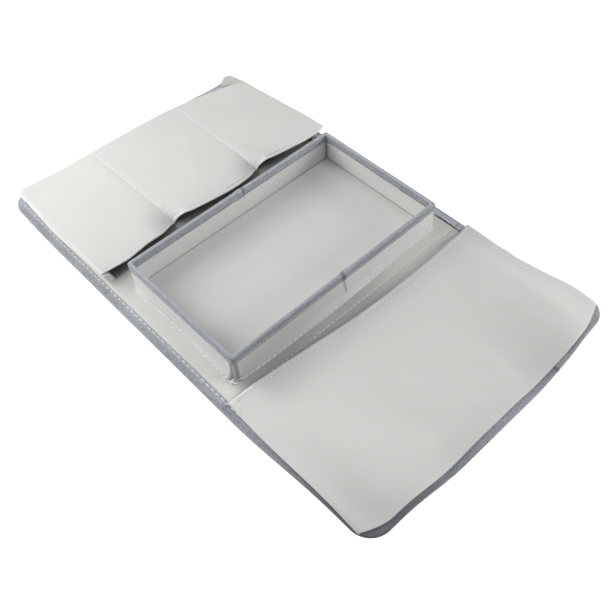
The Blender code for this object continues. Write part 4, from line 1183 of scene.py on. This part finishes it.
class ORGANIZER_OT_three_pockets(bpy.types.Operator):
    """Make the three-pocket front, its gussets, its end wall, its corner flap and its hem"""

    bl_idname = "organizer.three_pockets"
    bl_label = "Three pockets"

    def execute(self, context):
        s = context.scene.organizer_sizes
        made = [self.front(s), self.near_gusset(s), self.far_gusset(s), self.end_wall(s), self.flap(s), self.hem(s)]
        for piece in made:
            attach(piece, "left_panel")
        return {"FINISHED"}

    def front(self, s):
        """The front's cloth."""
        points, wear = left_front(s)
        piece = cloth_piece("three_pocket_sheet", points, s.cloth_thickness, "Pocket cloth", wear=wear)
        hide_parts("three_pocket_front")
        return piece

    def gusset(self, name, x, top_y, foot_y, out, depth, folds, s):
        """A bellows sheet between the lining and the front, along X."""
        gap = 0.1 * MM + 1.0 * MM * smooth((-0.160 - top_y) / 0.001)
        foot, top = gusset_edges(left_front_height, x, top_y, foot_y, gap, s)
        depth = depth * np.clip((top[:, 2] - foot[:, 2]) / (10 * MM), 0.15, 1)
        points = bellows(foot, top, np.array([0, out, 0]), depth, folds)
        turn = np.linspace(0, math.pi * folds, 25)[None, :]
        points[:, :, 0] += 2.2 * MM * np.sin(turn) ** 2 * smooth((x[:, None] + 0.135) / 0.02)
        return cloth_piece(name, points, s.thin_cloth, "Pocket cloth", wear=0.8)

    def near_gusset(self, s):
        """The near side's gusset, with two folds."""
        x = spread(-0.2815, -0.1105, 2.5 * MM, [(-0.1105, 6 * MM, 0.8 * MM)])
        piece = self.gusset("three_pocket_near_bellows", x, -0.1634, -0.1577, -1, 5.8 * MM, 2, s)
        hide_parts("three_pocket_near_gusset")
        return piece

    def far_gusset(self, s):
        """The far side's gusset, with one fold."""
        x = spread(-0.2175, -0.1185, 2.5 * MM)[::-1]
        piece = self.gusset("three_pocket_far_bellows", x, 0.1645, 0.1577, 1, 7 * MM, 1, s)
        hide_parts("three_pocket_far_gusset")
        return piece

    def end_wall(self, s):
        """The outer end: a low wall along Y from the lining up to the front's edge, bowed out a little."""
        y = spread(-0.1555, 0.142, 3 * MM)[::-1]
        end = through(y, LEFT_END_Y, LEFT_END_X) + 0.7 * MM
        under = left_front_height(end, y, s) - s.cloth_thickness / 2 - 1.4 * MM
        foot_x = np.maximum(end + 1.5 * MM, -0.2885)
        floor = s.mat_height - 1.1 * MM + corner_rise(foot_x, y, s)
        floor = np.minimum(floor, under - 0.5 * MM)
        foot = np.stack([foot_x, y, floor], -1)
        top = np.stack([end, y, under], -1)
        points = bellows(foot, top + tape_pull(top), np.array([-1, 0, 0]), np.full_like(y, -0.4 * MM), 1, 15)
        piece = cloth_piece("three_pocket_end_wall", points, s.thin_cloth, "Pocket cloth", wear=0.2)
        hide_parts("three_pocket_end_gusset")
        return piece

    def flap(self, s):
        """The far end of the end wall, which stands up loose over the tape's corner: a strip from its foot line to a
        rounded top, leaning out, with its height the root of the sine of the share along the foot."""
        share = np.linspace(0.02, 0.98, 25)[:, None]
        climb = np.linspace(0, 1, 13)[None, :]
        foot_x = mix(-0.2900, -0.2800, share)
        foot_y = mix(0.1425, 0.1690, share) + 1.5 * MM * np.sin(share * math.pi)
        rise = 18.0 * MM * np.sin(share * math.pi) ** 0.32 * (1 - 0.55 * share)
        x = foot_x - 3.2 * MM * np.sin(climb * 1.3) * np.sin(share * math.pi)
        y = foot_y + 1.0 * MM * np.sin(climb * 2.4)
        z = 4.3 * MM + rise * climb
        points = grid(x, y, z)[::-1]
        piece = cloth_piece("three_pocket_corner_flap", points, s.thin_cloth, "Pocket cloth", wear=0.1)
        return piece

    def hem(self, s):
        """The mouth's turned-in hem: a strip under the front, from 0.4 to 9 mm behind its edge."""
        y = left_front(s)[0][-1, :, 1]
        share = np.linspace(0, 1, 10)[:, None]
        x = mix(left_mouth_x(y) - 9 * MM, left_mouth_x(y) - 0.4 * MM, share)
        z = left_front_height(x, y, s) - s.cloth_thickness / 2 - 0.5 * MM
        strip = grid(x, y, z)[:, 3:-3]
        piece = cloth_piece("three_pocket_hem", strip, 0.45 * MM, "Pocket cloth", wear=0.3)
        return piece


# ---------------------------------------------------------------- wide pocket


RIGHT_NEAR_Y = -0.1652
RIGHT_FAR_Y = 0.1755
HEM_RUN = 5.4 * MM


def right_mouth_x(y):
    """X of the right mouth: a smooth step from 100.5 mm at the near side to 118 mm, less the square of the distance
    past 85 mm in Y."""
    past = np.maximum(y - 0.085, 0)
    return 0.1005 + 0.0175 * smooth((y + 0.185) / 0.235) - 0.79 * past**2


def right_near_y(x):
    """Y of the near edge: it moves out over the tape by 8 mm in a straight line, with a slight bow of 0.8 mm."""
    share = np.clip((x - 0.104) / 0.170, 0, 1)
    return RIGHT_NEAR_Y - 0.0079 * share - 0.0008 * np.sin(share * math.pi)


def right_far_y(x):
    """Y of the far edge: drawn in by 7 mm behind the mouth and out again by 3.5 mm towards the corner."""
    return RIGHT_FAR_Y - 0.0070 * smooth((x - 0.112) / 0.085) + 0.0035 * smooth((x - 0.215) / 0.050)


def right_end_x(y):
    """X of the outer end: 292.4 mm, 2 mm more beside the curls, and rounded off at both corners by a power of 1.6."""
    swell = 0.0020 * smooth((np.abs(y) - 0.020) / 0.080) + 0.0012 * smooth((y - 0.080) / 0.050)
    near = 0.0100 * np.clip((-0.143 - y) / 0.0293, 0, 1) ** 1.6
    far = 0.0098 * np.clip((y - 0.135) / 0.0365, 0, 1) ** 1.6
    return 0.2924 + swell - near - far


def right_front_height(x, y, s):
    """Middle of the right front over the floor: 7.5 mm at its sides, a crown of 10 to 12.5 mm between them, turned
    down by the root of a smooth step over the last 30 mm, on the panel's curl."""
    crown = mix(0.0099, 0.0125, smooth((x - FOLD_X) / 0.1905 / 0.35))
    edge = np.where(y > 0, 0.164 - y, 0.164 + y)
    height = mix(0.0075, crown, smooth(edge / 0.030))
    down = np.sqrt(smooth((right_end_x(y) - x + 0.5 * MM) / 0.030))
    return mix(5.15 * MM, height, down) + corner_rise(x, y, s)


def right_front(s):
    """Outer face of the right front: its middle plus half the cloth. A sewn groove runs along the mouth, broad
    wrinkles run in from the curled corners, and the near and far edges are drawn down a little at their seam."""
    along = spread(0, 1, 0.02, [(0, 0.055, 0.0042), (1, 0.08, 0.006)])[:, None]
    across = spread(0, 1, 0.012, [(0, 0.07, 0.0026), (1, 0.08, 0.0026)])[None, :]
    guess = mix(RIGHT_NEAR_Y, RIGHT_FAR_Y, across)
    mouth = right_mouth_x(guess)
    corner = mix(-0.1730, 0.1720, across)
    x = mouth + along * (right_end_x(corner) - mouth)
    y = mix(right_near_y(x), right_far_y(x), across)
    z = right_front_height(x, y, s) + s.cloth_thickness / 2
    near_gap, far_gap, end_gap = y - right_near_y(x), right_far_y(x) - y, right_end_x(corner) - x
    edge = np.minimum(np.minimum(near_gap, far_gap), end_gap)
    calm = smooth(edge / 0.035)
    z = z + 0.45 * MM * ripple(x, y, 61, 0.085) * calm
    z = z + 0.25 * MM * ripple(x * 0.4, y, 62, 0.030) * calm * smooth((x - 0.15) / 0.08)
    for place_x, place_y, way, size, width, length in (
        (0.215, 0.105, -30, 0.9, 0.010, 0.050),
        (0.235, -0.095, 37, 0.8, 0.011, 0.045),
        (0.262, 0.060, -55, 0.7, 0.009, 0.040),
        (0.168, -0.118, 62, 0.5, 0.012, 0.040),
    ):
        turn = math.radians(way)
        off = (x - place_x) * math.cos(turn) + (y - place_y) * math.sin(turn)
        run = (y - place_y) * math.cos(turn) - (x - place_x) * math.sin(turn)
        z = z + size * MM * bell(off, width) * bell(run, length) * calm
    run = x - mouth
    z = z - 0.40 * MM * bell(run - HEM_RUN, 1.0 * MM) + 0.22 * MM * bell(run - 2.6 * MM, 1.6 * MM)
    z = z - 0.8 * MM * bell(run, 0.9 * MM)
    z = z + 0.16 * MM * ripple(x, y, 63, 0.009) * bell(run - 4 * MM, 5 * MM)
    z = z + 0.05 * MM * ripple(x, y, 64, 0.010) * calm
    seam = smooth((0.203 - x) / 0.004)
    z = z - 0.40 * MM * bell(far_gap - 5.5 * MM, 1.0 * MM) * seam + 0.5 * MM * bell(far_gap - 2.6 * MM, 2.0 * MM) * seam
    z = z - 1.1 * MM * bell(near_gap, 1.8 * MM) - 0.7 * MM * bell(far_gap, 1.0 * MM)
    pucker = bell(near_gap - 3 * MM, 4 * MM) * smooth((0.160 - x) / 0.02)
    z = z + 0.30 * MM * np.sin(x / (5.5 * MM) * math.tau) * pucker
    points = grid(x, y, z)
    # Paler: a painted highlight along the mouth, the raised hem, and the far, near and outer end edges.
    rim = bell(run, 1.4 * MM) + 0.5 * bell(far_gap, 1.5 * MM) + 0.3 * bell(run - 2.6 * MM, 1.6 * MM)
    return points + tape_pull(points), rim + 0.4 * bell(near_gap, 1.5 * MM) + 0.4 * bell(end_gap, 2 * MM)


class ORGANIZER_OT_wide_pocket(bpy.types.Operator):
    """Make the wide pocket's front, its side gussets and its hem"""

    bl_idname = "organizer.wide_pocket"
    bl_label = "Wide pocket"

    def execute(self, context):
        s = context.scene.organizer_sizes
        for piece in (self.front(s), self.near_gusset(s), self.far_gusset(s), self.hem(s)):
            blend_over_fold(piece)
        return {"FINISHED"}

    def front(self, s):
        """The front's cloth."""
        points, wear = right_front(s)
        piece = cloth_piece("wide_pocket_sheet", points, s.cloth_thickness, "Pocket cloth", wear=wear)
        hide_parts("wide_pocket_front", "wide_pocket_end")
        return piece

    def gusset(self, name, x, top_y, foot_y, out, depth, s):
        """A bellows sheet with one fold between the lining and the front, along X."""
        foot, top = gusset_edges(right_front_height, x, top_y, foot_y, 0.75 * MM, s)
        points = bellows(foot, top, np.array([0, out, 0]), np.full_like(x, depth), 1)
        return cloth_piece(name, points, s.thin_cloth, "Pocket cloth", wear=0.3)

    def near_gusset(self, s):
        """The near side's gusset."""
        x = spread(0.1055, 0.281, 2.5 * MM)
        piece = self.gusset("wide_pocket_near_bellows", x, -0.1636, -0.1577, -1, 6 * MM, s)
        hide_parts("wide_pocket_near_gusset")
        return piece

    def far_gusset(self, s):
        """The far side's gusset."""
        x = spread(0.1145, 0.281, 2.5 * MM)[::-1]
        piece = self.gusset("wide_pocket_far_bellows", x, 0.1672, 0.1577, 1, 1.5 * MM, s)
        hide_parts("wide_pocket_far_gusset")
        return piece

    def hem(self, s):
        """The mouth's turned-in hem: a strip under the front, from 0.4 to 10 mm behind its edge."""
        y = spread(RIGHT_NEAR_Y + 3 * MM, 0.1695, 4 * MM)
        share = np.linspace(0, 1, 10)[:, None]
        x = mix(right_mouth_x(y) + 0.4 * MM, right_mouth_x(y) + 10 * MM, share)
        z = right_front_height(x, y, s) - s.cloth_thickness / 2 - 0.75 * MM
        strip = grid(x, y, z)
        piece = cloth_piece("wide_pocket_hem", strip, 0.45 * MM, "Pocket cloth", wear=0.3)
        return piece


# ---------------------------------------------------------------- stitching


def level_up(line, sign=1.0):
    """Straight up, or down for a sign of -1, at each point of a line."""
    return np.tile([0.0, 0.0, sign], (len(line), 1))


def on_surface(function, x, y, s):
    """A line of points on a height function."""
    x, y = np.broadcast_arrays(np.asarray(x, float), np.asarray(y, float))
    return np.stack([x, y, function(x, y, s)], -1)


def row_on(function, x, y, rise, pitch, s):
    """A row of stitches on a height function, raised by rise."""
    line = on_surface(function, x, y, s)
    line[:, 2] += rise
    return line, level_up(line), pitch


TACK_PITCH = 1.9 * MM
LOOSE_THREADS = (
    (
        "corner_thread_a",
        ((84.0, -145.4, 7.0), (83.0, -147.4, 6.3), (80.6, -149.4, 6.2), (77.0, -150.8, 6.2), (74.6, -150.2, 5.6)),
        0.60,
    ),
    (
        "corner_thread_b",
        ((84.4, -146.0, 6.6), (85.6, -147.0, 6.1), (88.0, -145.8, 6.1), (90.0, -143.6, 5.8)),
        0.55,
    ),
    (
        "corner_thread_c",
        ((83.6, -145.0, 7.6), (83.2, -147.6, 6.7), (85.0, -148.6, 6.0), (84.0, -150.4, 5.6)),
        0.45,
    ),
    (
        "outer_lap_thread",
        ((86.9, 5.4, 34.6), (87.3, 6.4, 29.5), (87.0, 7.0, 23.5), (87.2, 8.6, 17.0), (86.9, 9.4, 9.5)),
        0.22,
    ),
    (
        "inner_lap_thread",
        ((-81.9, 12.6, 34.8), (-81.5, 12.2, 33.0), (-81.8, 13.2, 31.4), (-81.9, 12.8, 29.8)),
        0.22,
    ),
)


class ORGANIZER_OT_stitching(bpy.types.Operator):
    """Sew the tape, folds, rim, tray walls, dividers and hems"""

    bl_idname = "organizer.stitching"
    bl_label = "Stitching"

    def execute(self, context):
        s = context.scene.organizer_sizes
        self.binding(s)
        self.tray(s)
        self.left(s)
        self.right(s)
        return {"FINISHED"}

    def binding(self, s):
        """Both faces of the edge tape's seam and of the fold lines."""
        for side, word, panel in sides():
            outline, inward = half_path(side, s)
            line = outline + inward * TAPE_SEAM
            rise = corner_rise(line[:, 0], line[:, 1], s)
            top = np.column_stack([line, rise + s.edge_height - 0.22 * MM])[2:-2]
            low = np.column_stack([line, rise + 0.60 * MM])[2:-2]
            rows = [(top, level_up(top), s.tape_stitch), (low, level_up(low, -1.0), s.tape_stitch)]
            y = np.linspace(-0.163, 0.163, 140)
            fold = on_surface(lining_top, side * FOLD_X, y, s)
            under = fold.copy()
            under[:, 2] = 0.62 * MM
            rows += [(fold, level_up(fold), s.fold_stitch), (under, level_up(under, -1.0), s.fold_stitch)]
            sewn = stitches(f"edge_and_fold_stitches_{word}", rows, s.thread_radius)
            blend_over_fold(sewn)

    def tray(self, s):
        """The rim tape's seam outside and inside, and the seam along the walls' foot."""
        rows = []
        for loop, facing in zip(rim_loops(s), (1.0, -1.0)):
            out = loop_outward(loop) * facing
            line = loop - out * 0.06 * MM
            height = np.full(len(loop), RIM_TOP - s.rim_depth + 0.8 * MM)
            rows.append((*self.around(line, height, out), s.rim_stitch))
        sewn = stitches("tray_rim_stitches", rows, 0.90 * s.thread_radius, "Dark thread", 0.5)
        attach(sewn, "middle_section")
        wall = outer_wall(s)[0]
        way = surface_normals(wall, True)[:, WALL_SEAM]
        line = wall[:, WALL_SEAM] + 0.08 * MM * way
        row = (np.vstack([line, line[:1]]), np.vstack([way, way[:1]]), s.wall_stitch)
        sewn = stitches("tray_wall_stitches", [row], s.thread_radius)
        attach(sewn, "middle_section")
        self.loose_threads()

    def around(self, line, height, out):
        """A closed row: the loop's points with its first point added at the end, and the level way out of each."""
        points = np.column_stack([line, height])
        ways = np.column_stack([out, np.zeros(len(out))])
        return np.vstack([points, points[:1]]), np.vstack([ways, ways[:1]])

    def loose_threads(self):
        """Thread ends left from sewing: three at the foot of the tray's near right corner and one under each lap of the
        rim tape."""
        for name, line, radius in LOOSE_THREADS:
            finish = "Sewing thread" if "corner" in name else "Dark thread"
            piece = thread_end(name, np.array(line) * MM, radius * MM, finish)
            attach(piece, "middle_section")

    def tack(self, height, x, y, along, across, count, s):
        """A bar tack: a zigzag of short stitches over a height function, count strokes of the given half sizes."""
        turns = np.arange(2 * count + 1)
        fine = np.linspace(0, 2 * count, 24 * count + 1)
        share = np.interp(fine, turns, np.linspace(-1, 1, 2 * count + 1))
        swing = np.interp(fine, turns, np.where(turns % 2, 1.0, -1.0))
        x = x + along[0] * share + across[0] * swing
        y = y + along[1] * share + across[1] * swing
        return row_on(height, x, y, s.cloth_thickness / 2 + 0.05 * MM, TACK_PITCH, s)

    def left(self, s):
        """The left panel's two dividers with their bar tacks, and its mouth."""
        rows = []
        half = s.cloth_thickness / 2
        for which in ("near", "far"):
            x = np.linspace(-0.280, -0.131, 120)
            line = divider_line(x, which)
            rows.append(row_on(left_front_height, x, line, half - 0.16 * MM, 0.8 * s.hem_stitch, s))
            end = divider_line(-0.138, which)
            rows.append(self.tack(left_front_height, -0.1375, end, (5 * MM, 0), (0, 1.2 * MM), 5, s))
        y = np.linspace(-0.160, 0.160, 200)
        mouth = left_mouth_x(y) - s.hem_stitch
        rows.append(row_on(left_front_height, mouth, y, half + 0.05 * MM, s.hem_stitch, s))
        sewn = stitches("three_pocket_stitches", rows, 0.8 * s.thread_radius)
        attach(sewn, "left_panel")

    def right(self, s):
        """The right panel's mouth, its far edge and the start of its near edge, with three bar tacks."""
        half = s.cloth_thickness / 2
        y = np.linspace(RIGHT_NEAR_Y + 1 * MM, 0.1735, 240)
        hem = row_on(right_front_height, right_mouth_x(y) + HEM_RUN, y, half - 0.18 * MM, s.hem_stitch, s)
        x = np.linspace(0.119, 0.200, 90)
        far, up, pitch = row_on(right_front_height, x, right_far_y(x) - 5.5 * MM, half - 0.18 * MM, s.hem_stitch, s)
        x = np.linspace(0.105, 0.150, 60)
        near = row_on(right_front_height, x, right_near_y(x) + 2.4 * MM, half - 0.20 * MM, 3.2 * MM, s)
        rows = [hem, (far + tape_pull(far), up, pitch), near]
        for x, y, along, across, count in (
            (0.1120, -0.1612, (2.2 * MM, 0.4 * MM), (0, 1.5 * MM), 4),
            (0.1160, 0.1700, (4 * MM, 0), (0, 1.0 * MM), 5),
            (0.2010, 0.1640, (4 * MM, 0), (0, 1.3 * MM), 5),
        ):
            rows.append(self.tack(right_front_height, x, y, along, across, count, s))
        sewn = stitches("wide_pocket_stitches", rows, s.thread_radius)
        blend_over_fold(sewn)


# ---------------------------------------------------------------- stage


LIGHTS = (
    ("Low left light", (-1.00, -0.40, 0.52), 0.6, 5.9),
    ("Key light", (-0.55, -0.40, 0.60), 0.5, 3.6),
    ("Near light", (-0.20, -0.95, 0.62), 0.7, 4.3),
    ("Low far light", (0.90, 0.90, 0.40), 0.6, 10.5),
    ("Right light", (1.10, 0.40, 0.45), 0.6, 1.0),
    ("Top light", (0.35, 0.35, 1.10), 0.7, 4.0),
)
CAMERA_ANGLES = (50.688, 52.163, -4.658)
CAMERA_AIM = (0.0632, -0.0283, 0.0)
CAMERA_DISTANCE = 0.8417
CAMERA_LENS = 46.77


def add_light(name, place, size, power):
    """A square soft light at place, turned to the origin."""
    light = bpy.data.lights.new(name, "AREA")
    light.shape = "SQUARE"
    light.size = size
    light.energy = power
    made = bpy.data.objects.new(name, light)
    made.location = place
    made.rotation_mode = "QUATERNION"
    made.rotation_quaternion = (-Vector(place)).to_track_quat("-Z", "Y")
    bpy.context.scene.collection.objects.link(made)


class ORGANIZER_OT_stage(bpy.types.Operator):
    """Set the pale floor, the soft lights, the surroundings and the camera"""

    bl_idname = "organizer.stage"
    bl_label = "Stage"

    def execute(self, context):
        self.floor()
        self.surroundings(context)
        for light in LIGHTS:
            add_light(*light)
        self.camera(context)
        context.scene.view_settings.view_transform = "Standard"
        return {"FINISHED"}

    def floor(self):
        """A level grid 12 m wide just under the object."""
        place = np.linspace(-FLOOR_HALF_WIDTH, FLOOR_HALF_WIDTH, 5)
        points = grid(place[:, None], place[None, :], -FLOOR_DROP).reshape(-1, 3)
        index = np.arange(25).reshape(5, 5)
        faces = patches(index[:-1], index[1:])
        mesh_object("floor", points, faces.tolist(), "Pale floor")

    def surroundings(self, context):
        """White to the camera and in reflections, and an even soft light for the rest."""
        world = bpy.data.worlds.new("Soft surroundings")
        made = Nodes(world, "Background")
        made.fill(made.shader, {"Color": (1.0, 1.0, 1.0, 1), "Strength": made.scaled(made.seen(), 0.04, 1.0)})
        context.scene.world = world

    def camera(self, context):
        """The photograph's view: back along azimuth and elevation from the aim, with a small roll."""
        azimuth, elevation, roll = (math.radians(angle) for angle in CAMERA_ANGLES)
        level = math.cos(elevation)
        back = Vector((math.sin(azimuth) * level, -math.cos(azimuth) * level, math.sin(elevation)))
        level = Vector((0, 0, 1)).cross(back).normalized()
        above = back.cross(level)
        right = math.cos(roll) * level + math.sin(roll) * above
        up = math.cos(roll) * above - math.sin(roll) * level
        data = bpy.data.cameras.new("Photo camera")
        data.sensor_width = 36.0
        data.lens = CAMERA_LENS
        data.clip_start = 0.01
        made = bpy.data.objects.new("Photo camera", data)
        turned = Matrix((right, up, back)).transposed().to_4x4()
        made.matrix_world = Matrix.Translation(Vector(CAMERA_AIM) + back * CAMERA_DISTANCE) @ turned
        context.scene.collection.objects.link(made)
        context.scene.camera = made


# ---------------------------------------------------------------- panel and start


OPERATORS = (
    ORGANIZER_OT_finishes,
    ORGANIZER_OT_boards,
    ORGANIZER_OT_mat_cloth,
    ORGANIZER_OT_edge_binding,
    ORGANIZER_OT_tray_cloth,
    ORGANIZER_OT_tray_rim,
    ORGANIZER_OT_three_pockets,
    ORGANIZER_OT_wide_pocket,
    ORGANIZER_OT_stitching,
    ORGANIZER_OT_stage,
)


class ORGANIZER_PT_panel(bpy.types.Panel):
    """Lists the pieces of the organizer in the order that they are made"""

    bl_idname = "ORGANIZER_PT_panel"
    bl_label = "Sofa Armrest Organizer"
    bl_space_type = "VIEW_3D"
    bl_region_type = "UI"
    bl_category = "Organizer"

    def draw(self, context):
        for group in (context.scene.organizer_sizes, context.scene.organizer_colours):
            box = self.layout.box()
            for key in group.__annotations__:
                box.prop(group, key)
        for operator in OPERATORS:
            self.layout.operator(operator.bl_idname)


CLASSES = (OrganizerSizes, OrganizerColours, *OPERATORS, ORGANIZER_PT_panel)


def register():
    """Register the classes and the two groups of settings."""
    for cls in CLASSES:
        bpy.utils.register_class(cls)
    bpy.types.Scene.organizer_sizes = bpy.props.PointerProperty(type=OrganizerSizes)
    bpy.types.Scene.organizer_colours = bpy.props.PointerProperty(type=OrganizerColours)


def unregister():
    """Take out what register put in."""
    del bpy.types.Scene.organizer_colours
    del bpy.types.Scene.organizer_sizes
    for cls in reversed(CLASSES):
        bpy.utils.unregister_class(cls)


def main():
    """Make every piece by its operator."""
    register()
    bpy.ops.organizer.finishes()
    bpy.ops.organizer.boards()
    bpy.ops.organizer.mat_cloth()
    bpy.ops.organizer.edge_binding()
    bpy.ops.organizer.tray_cloth()
    bpy.ops.organizer.tray_rim()
    bpy.ops.organizer.three_pockets()
    bpy.ops.organizer.wide_pocket()
    bpy.ops.organizer.stitching()
    bpy.ops.organizer.stage()


if __name__ == "__main__":
    main()
